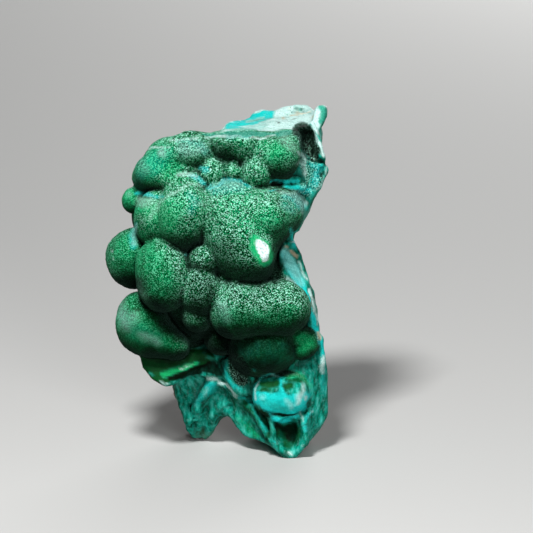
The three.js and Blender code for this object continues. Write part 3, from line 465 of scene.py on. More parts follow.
    ("darkgreen", 1.15, 0.6, FRONT, [(11.9, 12.6, 0.45), (12.9, 12.9, 0.52)]),
    ("teal", 0.5, 1.2, FRONT, [(7.9, 10.1, 0.69), (9.7, 9.2, 0.86), (11.9, 8.7, 0.69)]),
    ("pale", 0.35, 0.7, FRONT, [(11.9, 10.3, 0.34), (12.9, 9.1, 0.34)]),
    ("pale", 0.3, 0.7, FRONT, [(7.8, 10.9, 0.34)]),
    ("darkgreen", 0.9, 0.3, FRONT, [(12.4, 13.7, 0.31), (13.8, 13.7, 0.41), (14.5, 13.5, 0.31)]),
    ("bright", 0.4, 0.5, FRONT, [(15.3, 13.5, 0.34), (16.2, 12.5, 0.34)]),
    # painted highlight: the white glint on the glossy dome
    ("pale", 0.85, 0.7, FACE, [
        (14.8, 13, 0.17), (14.7, 11.8, 0.31), (14.1, 10.9, 0.38), (13.8, 9.6, 0.21),
    ]),
    ("pale", 0.7, 0.3, FACE, [(15.3, 10.8, 0.41)]),
    ("dark_marks_and_painted_shade", 0.8, 0.2, FRONT, [(8.1, 8.7, 0.14), (9.5, 7.8, 0.16), (12.9, 7.6, 0.16), (14.8, 8.4, 0.16)]),
    ("cyan", 1.1, 0.3, FRONT, [(9.1, 8.2, 0.28), (9.8, 7.2, 0.41), (11, 6.5, 0.45), (14, 7.5, 0.24)]),
    # painted shade in the scoop of the foot
    ("dark_marks_and_painted_shade", 1, 0.5, FRONT, [(10.3, 5.8, 0.34), (11.4, 5.1, 0.59), (13.1, 5.6, 0.86), (12.8, 3.7, 0.86)]),
    ("cyan", 0.6, 0.4, FACE, [(16.4, 8.4, 0.28), (15.5, 7.2, 0.38), (15, 6.1, 0.28), (15.3, 4.7, 0.21)]),
    ("pale", 0.7, 0.3, FACE, [(16.3, 8.1, 0.21)]),
    ("pale", 0.7, 0.2, FACE, [(14.8, 2.5, 0.16)]),
    ("cyan", 0.8, 0.2, FRONT, [(9.8, 2.8, 0.17)]),
    ("pale", 0.8, 0.3, FRONT, [(12.4, 1.3, 0.19), (12.8, 0.7, 0.24)]),
    ("smooth", 1.2, 0.5, FRONT, [(8.4, 11.1, 2.9), (12.8, 11.1, 3.3)]),
    ("smooth", 0.85, 0.5, NUB, [(6.6, 38, 0.69), (7.4, 36.3, 1.6), (8.4, 34.7, 1.2)]),
    # painted highlight: the pale strokes below lay a soft haze of light on the left of the low ball and of the long
    # lobe, over teal-green
    ("teal", 0.35, 2.1, ROUND, [(-16.4, 24.7, 1.4), (-14, 22.3, 1.4), (-10.5, 20.6, 1.2)]),
    ("pale", 0.24, 1.7, ROUND, [(-16.6, 25.8, 0.69), (-15.9, 23, 0.86), (-14.3, 24.7, 0.69)]),
    ("pale", 0.22, 1, ROUND, [(-13.3, 21.5, 0.52), (-10.2, 20.1, 0.69)]),
    ("teal", 0.3, 1.7, FRONT, [(0.9, 26.5, 1), (1.6, 24.4, 1.2)]),
    ("pale", 0.18, 1.4, FRONT, [(0.9, 26.8, 0.69), (1.9, 24.4, 0.69)]),
    ("pale", 0.2, 1, FRONT, [(-13.4, 30.6, 0.34), (-12.2, 27.3, 0.52), (-10.5, 25.8, 0.34)]),
    # painted shade under the low ball and the long lobes
    ("dark_marks_and_painted_shade", 0.9, 1.4, FRONT, [(-9, 23.7, 1.2), (-3.8, 21.3, 1.9), (-1.9, 19.7, 1.7)]),
    ("dark_marks_and_painted_shade", 0.8, 1.4, FRONT, [(0.9, 20.6, 1.7), (3.3, 19.6, 1.6), (7.8, 18.5, 1.6), (12.2, 18.9, 1.2)]),
    # painted shade below the nub
    ("dark_marks_and_painted_shade", 0.6, 0.7, FRONT, [(11.2, 34.1, 0.69), (10.2, 30.9, 0.69)]),
    ("plain", 0.9, 1.7, ROUND, [(-12.2, 49.2, 1.7), (-9.8, 52.3, 2.1), (-7.8, 50.3, 2.1)]),
    ("plain", 0.8, 1.7, FRONT, [(11.4, 53.4, 2.2), (10.2, 52, 1.7)]),
    ("plain", 1, 0.7, ROUND, [(-14.3, 44.6, 2.4)]),
    ("plain", 0.9, 1.4, ROUND, [(-14.3, 35.1, 4.5)]),
    ("plain", 0.6, 2.1, FRONT, [(-8.4, 40.9, 2.4), (-6.7, 43.7, 1.7)]),
    ("plain", 0.8, 1.7, FRONT, [(-11.6, 34.1, 3.1), (-10.2, 30.3, 3.4)]),
    ("plain", 0.9, 1.4, ROUND, [(-14, 24.4, 4.5), (-9.8, 20.9, 3.1)]),
    ("plain", 0.6, 2.1, FRONT, [(7.8, 40.9, 2.1), (10.5, 40.9, 2.1)]),
    ("plain", 0.8, 1.7, FRONT, [(2.6, 23.7, 2.4), (7.8, 23, 2.4), (12.2, 24.4, 2.1)]),
    ("plain", 0.8, 1, FRONT, [(14.3, 20.3, 2.8)]),
    # painted shade under the side ball and in the valley above the low ball
    ("dark_marks_and_painted_shade", 0.9, 1.6, ROUND, [(-15.7, 31.1, 1.2), (-14, 30.3, 1.6)]),
    ("dark_marks_and_painted_shade", 0.9, 1.4, ROUND, [(-10.5, 27, 0.86), (-9.1, 24.7, 1.4), (-6.7, 23, 1.7)]),
    ("darkgreen", 0.5, 1, ROUND, [(-11.6, 27.2, 0.69), (-10.2, 25.8, 1)]),
    ("darkgreen", 0.5, 0.9, FRONT, [(-2.9, 34.1, 1.4), (-1.6, 34.7, 1.4)]),
    # painted shade under the small bead and below the nub
    ("dark_marks_and_painted_shade", 0.6, 0.9, FRONT, [(-0.9, 33.4, 1), (-2.2, 32.3, 1), (-3.6, 33.4, 0.69)]),
    ("dark_marks_and_painted_shade", 0.5, 1.4, FRONT, [(4.3, 33, 1.4), (6.7, 31.6, 1.2), (9.1, 32.3, 1.4), (10.9, 33, 0.86)]),
    ("darkgreen", 0.7, 0.7, FRONT, [(2.6, 9.4, 0.86), (4.3, 8.5, 1), (5.7, 6.8, 0.86)]),
    ("darkgreen", 0.9, 0.5, FRONT, [
        (-11.6, 17.8, 1), (-9.8, 15.8, 1.7), (-7.1, 16.1, 1.4), (-4.7, 17.8, 1),
    ]),
    # painted shade from the low ball on the ledge
    ("dark_marks_and_painted_shade", 0.7, 0.7, FRONT, [(-11.6, 17.8, 1), (-7.8, 17.2, 1.2), (-4.7, 18.4, 1)]),
    ("pale", 0.5, 0.2, FRONT, [(-8.8, 55.6, 0.1), (-7.1, 56, 0.12)]),
    ("darkgreen", 0.4, 1.4, FRONT, [(-3.6, 32.3, 1.4), (-2.9, 29.2, 2.1), (-3.1, 26.1, 1.7)]),
    # painted shade down the lower middle lobe
    ("dark_marks_and_painted_shade", 0.6, 1, FRONT, [(-1.6, 30.6, 1), (-1.2, 27.5, 1), (-2.6, 24.4, 1.4)]),
    ("darkgreen", 0.35, 1.7, FRONT, [(1.9, 37.8, 2.1), (4, 35.1, 2.1)]),
    # painted shade under the long lobes and in the cavity beside them
    ("dark_marks_and_painted_shade", 1, 0.9, FRONT, [(0.7, 20.6, 2.2), (-1.9, 20.9, 1.7), (2.6, 18.9, 1.6)]),
    ("dark_marks_and_painted_shade", 0.45, 1, FRONT, [(4, 22.3, 0.86), (7.8, 21.6, 0.86), (12.2, 22.3, 0.86)]),
    ("darkgreen", 0.22, 1.4, FRONT, [(3.3, 28.2, 1.4), (7.8, 27.5, 1.4), (12.2, 27.5, 1.4)]),
    ("darkgreen", 0.6, 1, FRONT, [(1.9, 10.6, 0.86), (4, 9.9, 1.2), (5.7, 8.4, 1.4), (6.7, 6.1, 1)]),
    # painted shade in the cavity above the left foot
    ("dark_marks_and_painted_shade", 0.9, 0.7, FRONT, [(0.9, 16.5, 1), (0.2, 15.1, 1), (-1.2, 16.1, 1)]),
    ("teal", 0.4, 0.9, FRONT, [(-5.3, 13, 1), (-6.4, 10.9, 1)]),
    ("pale", 0.4, 0.3, FRONT, [(-2.9, 13, 0.24), (-3.6, 11.6, 0.21)]),
    ("pale", 0.5, 0.2, FACE, [(14.3, 8.2, 0.17), (14.8, 6.8, 0.16)]),
    ("cyan", 1, 0.3, FRONT, [(-4.7, 48.9, 0.34), (-3.3, 48.5, 0.45), (-2.1, 47.5, 0.34)]),
    ("cyan", 1, 0.3, FRONT, [(-14, 45.8, 0.34), (-9.3, 45.3, 0.28)]),
    ("cyan", 0.6, 0.5, FRONT, [(-1.6, 46.8, 0.38), (1.6, 47.8, 0.34), (4, 47.8, 0.34), (5.5, 47, 0.28)]),
    ("pale", 0.6, 0.3, FRONT, [(-5.3, 49.2, 0.41), (-3.6, 48.9, 0.34)]),
    ("pale", 0.45, 0.7, FRONT, [(-13.3, 44.7, 0.52), (-11.6, 44.7, 0.52)]),
    ("cyan", 0.7, 0.3, FRONT, [(-2.2, 49.9, 0.41), (-1.6, 49.6, 0.34)]),
    ("teal", 0.5, 0.9, FRONT, [(-13.3, 48.9, 0.86), (-13.6, 47.2, 0.69)]),
    ("darkgreen", 0.8, 0.7, FRONT, [(11.4, 4.7, 1.4), (13.3, 4.7, 1.4), (12.2, 3, 1.2)]),
    ("pale", 0.4, 0.5, FRONT, [(-6.4, 13, 0.24), (-5, 12.3, 0.34), (-5.9, 10.9, 0.34), (-4.7, 9.6, 0.28)]),
    ("cyan", 0.4, 0.9, FRONT, [(-5, 12.7, 0.52), (-3.6, 11.6, 0.69), (-5.3, 10.3, 0.69)]),
    # painted shade down the lower middle lobe
    ("dark_marks_and_painted_shade", 0.45, 1.4, FRONT, [(-3.3, 29.9, 1.7), (-3.1, 26.5, 1.7)]),
    ("dark_marks_and_painted_shade", 0.3, 1.7, FRONT, [(1.9, 36.8, 2.1)]),
    # painted shade under the long lobes and on the ledge
    ("dark_marks_and_painted_shade", 0.75, 1, FRONT, [(7.8, 18.5, 3.4), (3.3, 18.9, 2.1)]),
    ("dark_marks_and_painted_shade", 0.4, 0.7, FRONT, [(-11.6, 16.1, 1.4), (-7.1, 16.8, 1.4), (-2.9, 17.5, 1)]),
    ("bright", 0.6, 0.3, FRONT, [(-9.3, 14.6, 0.52), (-4.3, 16.3, 0.45)]),
    ("pale", 0.6, 0.2, FRONT, [(-6.7, 15.4, 0.1), (-4.1, 16.3, 0.1)]),
    ("cyan", 0.2, 1.6, FRONT, [(-5.7, 53.4, 1.4), (-2.9, 53.7, 1)]),
    ("bright", 0.35, 1.7, FRONT, [(-10.5, 42.7, 1.4), (-9.8, 44.1, 1.4)]),
    ("cyan", 0.22, 1.7, FRONT, [(-11.6, 50.6, 2.1), (-9.1, 52.7, 1.4)]),
    ("dark_marks_and_painted_shade", 0.14, 1.7, FRONT, [(3.3, 27.5, 2.1), (7.8, 27.5, 1.7)]),
    ("pale", 0.45, 0.7, FRONT, [(-6.4, 12.8, 0.34), (-4.7, 11.8, 0.41), (-5.7, 10.4, 0.41)]),
    ("pale", 0.6, 0.7, SIDE, [(11.6, 35.9, 0.52), (12.8, 33.9, 0.76), (14.1, 31.6, 0.69)]),
    ("bright", 0.3, 1.7, FRONT, [(-10.2, 43.9, 1.7), (-11.6, 42.3, 1.4)]),
    ("pale", 0.16, 1.7, FRONT, [(-5.3, 53.4, 1.6), (-2.6, 53.7, 1.2)]),
    ("plain", 0.9, 1.4, FRONT, [(5, 18.9, 2.4), (11.7, 18.5, 2.4)]),
    ("smooth", 0.35, 1, FRONT, [(4, 18.5, 2.1), (11.6, 18.2, 2.1)]),
    ("bright", 0.2, 1.4, FRONT, [(7.8, 17.8, 1.4), (11.6, 18.2, 1.2)]),
    # painted highlight: a haze of light on the left of the low ball
    ("pale", 0.26, 1.7, ROUND, [(-16.6, 26.5, 0.86), (-16, 23.7, 1)]),
    ("pale", 0.2, 1, FRONT, [(-5.3, 12.7, 0.69), (-4.7, 10.6, 0.69)]),
    ("cyan", 0.45, 0.7, SIDE, [(11.6, 35.8, 0.69), (12.8, 33.7, 1), (14.3, 30.6, 0.86)]),
]

# How softly the lobes of one group run into each other.
GROUP_BLEND = {
    "mass": 3.0, "lower_left": 1.6, "long": 1.4, "low": 1.2, "shoulder": 1.0, "crown": 0.8,
    "lower_mid": 0.5, "dome": 0.5, "cap": 1.0,
}

SIN, COS = math.sin(LEAN), math.cos(LEAN)


# ---------------------------------------------------------------- distance fields
LOW = np.array([-21.0, -13.6, -1.6])
HIGH = np.array([20.8, 22.4, 63.0])
COUNT = np.ceil((HIGH - LOW) / STEP).astype(int) + 1
AXES = [LOW[i] + STEP * np.arange(COUNT[i]) for i in range(3)]


def window(low, high, margin):
    """Slices of the grid that cover a box and a margin around it, and their coordinates."""
    cut = []
    for i in range(3):
        a = max(0, int((low[i] - margin - LOW[i]) / STEP))
        b = min(COUNT[i], int((high[i] + margin - LOW[i]) / STEP) + 2)
        cut.append(slice(a, b))
    grids = np.meshgrid(*[AXES[i][cut[i]] for i in range(3)], indexing="ij")
    return tuple(cut), np.stack(grids, -1).astype(np.float32)


def smooth_min(a, b, k):
    h = np.maximum(k - np.abs(a - b), 0) / k
    return np.minimum(a, b) - h * h * k / 4


def smooth_max(a, b, k):
    return -smooth_min(-a, -b, k)


def ellipsoid(p, centre, radii, turn):
    q = p - np.array(centre, np.float32)
    if turn:
        c, s = math.cos(math.radians(turn)), math.sin(math.radians(turn))
        q = np.stack([q[..., 0] * c + q[..., 2] * s, q[..., 1], q[..., 2] * c - q[..., 0] * s], -1)
    r = np.array(radii, np.float32)
    a = q / r
    b = a / r
    k0 = np.sqrt((a * a).sum(-1))
    k1 = np.sqrt((b * b).sum(-1))
    return k0 * (k0 - 1) / np.maximum(k1, 1e-6)


def hull_planes(corners):
    """Outward face planes of the convex hull of some corners, as rows of normal and offset."""
    bm = bmesh.new()
    for corner in corners:
        bm.verts.new(corner)
    hull = bmesh.ops.convex_hull(bm, input=bm.verts)
    middle = np.mean(np.array(corners), axis=0)
    rows = set()
    for face in hull["geom"]:
        if not isinstance(face, bmesh.types.BMFace) or face.calc_area() < 1e-6:
            continue
        face.normal_update()
        normal = np.array(face.normal)
        offset = -float(normal @ np.array(face.verts[0].co))
        if normal @ middle + offset > 0:
            normal, offset = -normal, -offset
        rows.add(tuple(np.round([*normal, offset], 3)))
    bm.free()
    return np.array(sorted(rows), np.float32)


def hull_distance(p, planes, rounding):
    k = np.float32(rounding * 0.35)
    d = p @ planes[:, :3].T + planes[:, 3]
    top = d.max(-1)
    return top + k * np.log(np.exp((d - top[..., None]) / k).sum(-1)) - 2 * k


def capsule(p, a, b):
    start, end = np.array(a[:3], np.float32), np.array(b[:3], np.float32)
    along = end - start
    h = np.clip(((p - start) @ along) / float(along @ along), 0, 1)
    return np.linalg.norm(p - start - h[..., None] * along, axis=-1) - (a[3] + (b[3] - a[3]) * h)


def lattice_noise(p, size, seed):
    """Smooth value noise in [-1, 1] on a lattice of the given size in millimetres."""
    rng = np.random.default_rng(seed)
    table = rng.uniform(-1, 1, (64, 64, 64)).astype(np.float32)
    q = p / np.float32(size) + np.float32(100.37 + seed * 1.7)
    cell = np.floor(q).astype(np.int32)
    t = q - cell
    t = t * t * (3 - 2 * t)
    out = 0.0
    for dx in (0, 1):
        wx = t[..., 0] if dx else 1 - t[..., 0]
        for dy in (0, 1):
            wy = t[..., 1] if dy else 1 - t[..., 1]
            for dz in (0, 1):
                wz = t[..., 2] if dz else 1 - t[..., 2]
                value = table[(cell[..., 0] + dx) & 63, (cell[..., 1] + dy) & 63, (cell[..., 2] + dz) & 63]
                out = out + wx * wy * wz * value
    return out


def crust_field():
    field = np.full(COUNT, FAR, np.float32)
    groups = {}
    for name, group, centre, radii, turn in LOBES:
        groups.setdefault(group, []).append((name, centre, radii, turn))
    for group, lobes in groups.items():
        reach = [max(r) for _, _, r, _ in lobes]
        low = np.min([np.array(c) - r for (_, c, _, _), r in zip(lobes, reach)], axis=0)
        high = np.max([np.array(c) + r for (_, c, _, _), r in zip(lobes, reach)], axis=0)
        cut, p = window(low, high, 2.0)
        d = None
        for name, centre, radii, turn in lobes:
            e = ellipsoid(p, centre, radii, turn)
            d = e if d is None else smooth_min(d, e, GROUP_BLEND.get(group, 0.8))
        if group in ("crown", "cap"):
            above = (p[..., 2] - CRUST_TOP_Z - CRUST_TOP_SLOPE * p[..., 1]) * 0.965
            d = smooth_max(d, above, 0.3)
        if group == "nub":
            out = np.array([0.25, -0.96, -0.1], np.float32)
            out /= np.linalg.norm(out)
            chip = np.array(lobes[0][1], np.float32) + out * 2.3
            d = smooth_max(d, (p - chip) @ out, 0.15)
        field[cut] = smooth_min(field[cut], np.minimum(d, FAR), 0.12)
    return field


def rock_field():
    field = np.full(COUNT, FAR, np.float32)
    for rounding, corners in CHUNKS.values():
        planes = hull_planes(corners)
        low, high = np.min(corners, axis=0), np.max(corners, axis=0)
        cut, p = window(low, high, 1.6)
        field[cut] = smooth_min(field[cut], hull_distance(p, planes, rounding), 0.8)
    for stations in RIDGES.values():
        for a, b in zip(stations[:-1], stations[1:]):
            low = np.minimum(a[:3], b[:3]) - max(a[3], b[3])
            high = np.maximum(a[:3], b[:3]) + max(a[3], b[3])
            cut, p = window(low, high, 1.2)
            field[cut] = smooth_min(field[cut], capsule(p, a, b), 0.6)
    for radius, points in GROOVES:
        for a, b in zip(points[:-1], points[1:]):
            a, b = (*a, radius), (*b, radius)
            low = np.minimum(a[:3], b[:3]) - radius
            high = np.maximum(a[:3], b[:3]) + radius
            cut, p = window(low, high, 0.8)
            field[cut] = smooth_max(field[cut], -capsule(p, a, b), 0.25)
    for name, centre, radii, turn in HOLLOWS:
        reach = max(radii) if turn else np.array(radii)
        cut, p = window(np.array(centre) - reach, np.array(centre) + reach, 1.0)
        field[cut] = smooth_max(field[cut], -ellipsoid(p, centre, radii, turn), 0.4)
    return field


def surface_nets(field):
    """Quads around every grid edge that the surface crosses, one vertex to a cell."""
    inside = field < 0
    stride = np.array([COUNT[1] * COUNT[2], COUNT[2], 1])
    edges = []
    for axis in range(3):
        near = [slice(None)] * 3
        away = [slice(None)] * 3
        near[axis], away[axis] = slice(0, -1), slice(1, None)
        i, j, k = np.nonzero(inside[tuple(near)] != inside[tuple(away)])
        start = np.stack([i, j, k], 1)
        end = start.copy()
        end[:, axis] += 1
        a = field[tuple(start.T)]
        b = field[tuple(end.T)]
        where = start.astype(np.float64)
        where[:, axis] += a / (a - b)
        edges.append((axis, start, where, a < 0))
    corner_cells = []
    for axis, start, where, out in edges:
        u, v = (axis + 1) % 3, (axis + 2) % 3
        ring = []
        for du, dv in ((0, 0), (-1, 0), (-1, -1), (0, -1)):
            cell = start.copy()
            cell[:, u] += du
            cell[:, v] += dv
            ring.append(cell @ stride)
        corner_cells.append(np.stack(ring, 1))
    cells = np.unique(np.concatenate([c.ravel() for c in corner_cells]))
    total = np.zeros((len(cells), 3))
    count = np.zeros(len(cells))
    quads = []
    for (axis, start, where, out), ring in zip(edges, corner_cells):
        index = np.searchsorted(cells, ring)
        for c in range(4):
            count += np.bincount(index[:, c], minlength=len(cells))
            for i in range(3):
                total[:, i] += np.bincount(index[:, c], weights=where[:, i], minlength=len(cells))
        quads.append(np.where(out[:, None], index, index[:, ::-1]))
    vertices = LOW + STEP * total / count[:, None]
    return vertices, np.concatenate(quads)


def largest_shell(vertices, quads):
    """Drops every shell but the largest, so that no small cavity or crumb is left."""
    label = np.arange(len(vertices))
    a = quads.ravel()
    b = np.roll(quads, 1, axis=1).ravel()
    while True:
        low = np.minimum(label[a], label[b])
        new = label.copy()
        np.minimum.at(new, a, low)
        np.minimum.at(new, b, low)
        new = new[new]
        if (new == label).all():
            break
        label = new
    kept = label == np.bincount(label).argmax()
    renumber = np.cumsum(kept) - 1
    return vertices[kept], renumber[quads[kept[quads[:, 0]]]]


def sample(field, p):
    """Trilinear value of a grid field at some points."""
    q = (p - LOW) / STEP
    cell = np.clip(np.floor(q).astype(int), 0, COUNT - 2)
    t = q - cell
    out = 0.0
    for dx in (0, 1):
        wx = t[:, 0] if dx else 1 - t[:, 0]
        for dy in (0, 1):
            wy = t[:, 1] if dy else 1 - t[:, 1]
            for dz in (0, 1):
                wz = t[:, 2] if dz else 1 - t[:, 2]
                out = out + wx * wy * wz * field[cell[:, 0] + dx, cell[:, 1] + dy, cell[:, 2] + dz]
    return out


def vertex_normals(vertices, quads):
    a, b, c, d = (vertices[quads[:, i]] for i in range(4))
    face = np.cross(c - a, d - b)
    normals = np.zeros_like(vertices)
    for i in range(4):
        for axis in range(3):
            normals[:, axis] += np.bincount(quads[:, i], weights=face[:, axis], minlength=len(vertices))
    return normals / np.maximum(np.linalg.norm(normals, axis=1, keepdims=True), 1e-9)


# ---------------------------------------------------------------- the stone's surface
_, everywhere = window(LOW, HIGH, 0.0)
crust = crust_field()
rock = rock_field()

lumps = lattice_noise(everywhere, 5.2, 1) * 0.34 + lattice_noise(everywhere, 2.2, 2) * 0.11
crust_rough = crust + lumps
fracture = (
    0.50 * np.abs(lattice_noise(everywhere, 5.6, 3))
    + 0.26 * np.abs(lattice_noise(everywhere, 2.5, 4))
    + 0.12 * lattice_noise(everywhere, 1.1, 5)
    + 0.05 * lattice_noise(everywhere, 0.6, 6)
)
# the hidden broken back is the roughest, and the coated front of the feet the smoothest
deep = np.clip((everywhere[..., 1] - 5.0) / 6.0, 0, 1)
coated = np.clip((17.0 - everywhere[..., 2]) / 3.0, 0, 1) * (1 - deep)
rock_rough = rock + (fracture - 0.2) * (1 + 0.9 * deep - 0.62 * coated)
stone = smooth_min(crust_rough, rock_rough, 0.4)
height = everywhere[..., 2] * COS - everywhere[..., 1] * SIN
stone = np.maximum(stone, -height)
del everywhere, lumps, fracture, height, deep, coated

vertices, quads = surface_nets(stone)
vertices, quads = largest_shell(vertices, quads)
normals = vertex_normals(vertices, quads)
print("stone:", len(vertices), "vertices", len(quads), "quads")

in_crust = sample(crust_rough, vertices)
in_rock = sample(rock_rough, vertices)
crust_share = np.clip(0.5 + (in_rock - in_crust) / 0.5, 0, 1)
open_near = np.clip(sample(stone, vertices + normals * 0.7) / 0.7, 0, 1)

fine = lattice_noise(vertices, 0.75, 7) * 0.05 + lattice_noise(vertices, 0.42, 8) * 0.05
vertices = vertices + normals * (fine * (0.4 + 0.6 * crust_share))[:, None]


def standing(p):
    """From the upright frame in mm to the CAD frame in metres."""
    x = p[:, 0]
    y = p[:, 2] * SIN + p[:, 1] * COS - MIDDLE_Y
    z = np.maximum(p[:, 2] * COS - p[:, 1] * SIN, 0)
    return np.stack([x, y, z], 1) / 1000


# ---------------------------------------------------------------- painted zones
COLOURS = ("teal", "bright", "cyan", "darkgreen", "pale", "cream", "brown")
MASKS = (*COLOURS, "dark_marks_and_painted_shade", "velvet_and_painted_shade", "mottle", "chip", "smooth", "plain")


def stroke_weight(p, stations, softness, depth):
    """How far each point lies inside a stroke that is drawn on the face, from 0 to 1."""
    flat = p[:, (0, 2)]
    best = np.full(len(p), 99.0)
    ends = stations[1:] if len(stations) > 1 else stations
    for a, b in zip(stations, ends):
        start, along = np.array(a[:2]), np.array(b[:2]) - np.array(a[:2])
        h = np.clip(((flat - start) @ along) / max(float(along @ along), 1e-9), 0, 1)
        reach = a[2] + (b[2] - a[2]) * h
        best = np.minimum(best, np.linalg.norm(flat - start - h[:, None] * along, axis=1) - reach)
    weight = np.clip(0.5 - best / softness, 0, 1)
    inside = np.clip((p[:, 1] - depth[0]) / 0.8, 0, 1) * np.clip((depth[1] - p[:, 1]) / 2.5, 0, 1)
    return weight * inside


wander = np.stack([lattice_noise(vertices, 1.5, 20 + i) for i in range(3)], 1) * 0.28
wander += np.stack([lattice_noise(vertices, 0.6, 30 + i) for i in range(3)], 1) * 0.12
drift = np.stack([lattice_noise(vertices, 3.2, 50 + i) for i in range(3)], 1)
drift *= np.array([1.6, 2.6, 1.6]) * np.clip((vertices[:, 1:2] - 3.0) / 5.0, 0, 1)
drift *= np.clip((54.0 - vertices[:, 2:]) / 3.0, 0, 1)
painted = {name: np.zeros(len(vertices)) for name in MASKS}
for mask, strength, softness, depth, stations in STROKES:
    weight = stroke_weight(vertices + wander + drift, stations, softness, depth)
    for above in COLOURS[COLOURS.index(mask) + 1:] if mask in COLOURS else ():
        painted[above] *= 1 - np.clip(weight * strength, 0, 1)
    painted[mask] = np.maximum(painted[mask], weight * strength)
crust_share = crust_share * (1 - painted["smooth"])

# the broken top is pale, and the back is rusty host rock
top_face = np.clip((vertices[:, 2] - (56.0 + 0.27 * vertices[:, 1])) / 0.5, 0, 1)
top_face *= np.clip(normals[:, 2] / 0.3, 0, 1) * (1 - crust_share)
top_face *= 1 - np.maximum(painted["cyan"], painted["teal"])
painted["pale"] = np.maximum(painted["pale"], top_face)
stain = lattice_noise(vertices, 6.0, 40) + 0.6 * lattice_noise(vertices, 2.4, 41)
rear = np.clip((vertices[:, 1] - 9.0 + 3.0 * stain) / 4, 0, 1) * (1 - crust_share) * (1 - top_face)
# painted shade on surfaces that face down
painted_underside_shade = np.clip((0.15 - normals[:, 2]) / 0.75, 0, 1)

# painted shade: how far the stone hides each point from the lamp above and in front; the crust is painted darker the
# more it is hidden
skyward = np.array([-0.16, -0.56, 0.81])
painted_shelter_shade = np.ones(len(vertices))
for reach in (0.5, 0.9, 1.4, 2.1, 3.0, 4.2, 5.8, 8.0):
    probe = sample(stone, vertices + normals * 0.25 + skyward * reach)
    painted_shelter_shade = np.minimum(painted_shelter_shade, np.clip(0.35 + 2.0 * probe / reach, 0, 1))
painted_shelter_shade = 1 - painted_shelter_shade

# the tufts are coarse and pale in the middle, finer and smoother on the left and lower lobes
grain = 1.0 - 0.25 * np.clip((-7.0 - vertices[:, 0]) / 4, 0, 1) - 0.35 * np.clip((27 - vertices[:, 2]) / 6, 0, 1)
grain = np.clip(grain, 0.4, 1) * (1 - 0.12 * painted["plain"])
# painted light and shade in the crust's green: lighter where it faces the lamp and higher up the stone, darker where
# the stone hides it from the lamp; the plain lobes are a fuller green of their own
painted_light_facing = np.clip(0.35 + 0.65 * (normals @ skyward), 0, 1)
tone_and_painted_light = 0.39 + 0.03 * painted["plain"] + 0.09 * np.clip((vertices[:, 2] - 34) / 12, 0, 1) + 0.09 * painted_light_facing - 0.10 * painted_shelter_shade

mesh = bpy.data.meshes.new("malachite_surface")
mesh.from_pydata(standing(vertices).tolist(), [], quads.tolist())
mesh.polygons.foreach_set("use_smooth", np.ones(len(mesh.polygons), bool))
values_of = dict(
    painted, crust=crust_share, open_near=open_near, rear=rear, painted_underside_shade=painted_underside_shade,
    painted_shelter_shade=painted_shelter_shade, grain=grain, tone_and_painted_light=tone_and_painted_light, painted_light_facing=painted_light_facing, layer=np.clip(in_crust, 0, 8),
)
for name, values in values_of.items():
    attribute = mesh.attributes.new(name, "FLOAT", "POINT")
    attribute.data.foreach_set("value", values.astype(np.float32))
upright = mesh.attributes.new("upright", "FLOAT_VECTOR", "POINT")
upright.data.foreach_set("vector", vertices.astype(np.float32).ravel())
mesh.update()
stone_object = bpy.data.objects.new("malachite_surface", mesh)
bpy.context.scene.collection.objects.link(stone_object)

# ---------------------------------------------------------------- materials
material = bpy.data.materials.new("malachite")
material.use_nodes = True
tree = material.node_tree
shader = tree.nodes["Principled BSDF"]


def node(kind, **settings):
    made = tree.nodes.new(kind)
    for key, value in settings.items():
        setattr(made, key, value)
    return made


def plug(socket, value):
    """Links an output into a socket, or sets the socket's own value."""
    if isinstance(value, bpy.types.NodeSocket):
        tree.links.new(value, socket)
    else:
        socket.default_value = value


def attribute(name, output="Fac"):
    return node("ShaderNodeAttribute", attribute_name=name).outputs[output]


place = attribute("upright", "Vector")


def maths(operation, a, b=0.0, clamp=False):
    made = node("ShaderNodeMath", operation=operation, use_clamp=clamp)
    plug(made.inputs[0], a)
    plug(made.inputs[1], b)
    return made.outputs[0]


def ramp_between(value, low, high):
    """0 below low, 1 above high, straight between."""
    made = node("ShaderNodeMapRange", clamp=True)
    plug(made.inputs["Value"], value)
    plug(made.inputs["From Min"], low)
    plug(made.inputs["From Max"], high)
    return made.outputs[0]


def noise(per_mm, detail=3.0, roughness=0.55, stretch=None):
    where = place
    if stretch:
        mapping = node("ShaderNodeMapping")
        plug(mapping.inputs["Vector"], place)
        plug(mapping.inputs["Scale"], stretch)
        where = mapping.outputs[0]
    made = node("ShaderNodeTexNoise")
    plug(made.inputs["Vector"], where)
    plug(made.inputs["Scale"], per_mm)
    plug(made.inputs["Detail"], detail)
    plug(made.inputs["Roughness"], roughness)
    return made.outputs["Fac"]


def tufts(per_mm):
    made = node("ShaderNodeTexVoronoi")
    plug(made.inputs["Vector"], place)
    plug(made.inputs["Scale"], per_mm)
    split = node("ShaderNodeSeparateColor")
    plug(split.inputs[0], made.outputs["Color"])
    return split.outputs[0], made.outputs["Distance"]


def mix(factor, a, b, blend="MIX"):
    made = node("ShaderNodeMix", data_type="RGBA", blend_type=blend)
    plug(made.inputs["Factor"], factor)
    plug(made.inputs["A"], a)
    plug(made.inputs["B"], b)
    return made.outputs["Result"]


def colours(value, *stops):
    made = node("ShaderNodeValToRGB")
    plug(made.inputs[0], value)
    elements = made.color_ramp.elements
    while len(elements) < len(stops):
        elements.new(0.5)
    for element, (position, colour) in zip(elements, stops):
        element.position = position
        element.color = (*colour, 1)
    return made.outputs[0]


broad = noise(0.16, 3)
patchy = noise(0.7, 4)
gritty = noise(8.0, 2, 0.7)
tuft_shade, tuft_height = tufts(6.2)

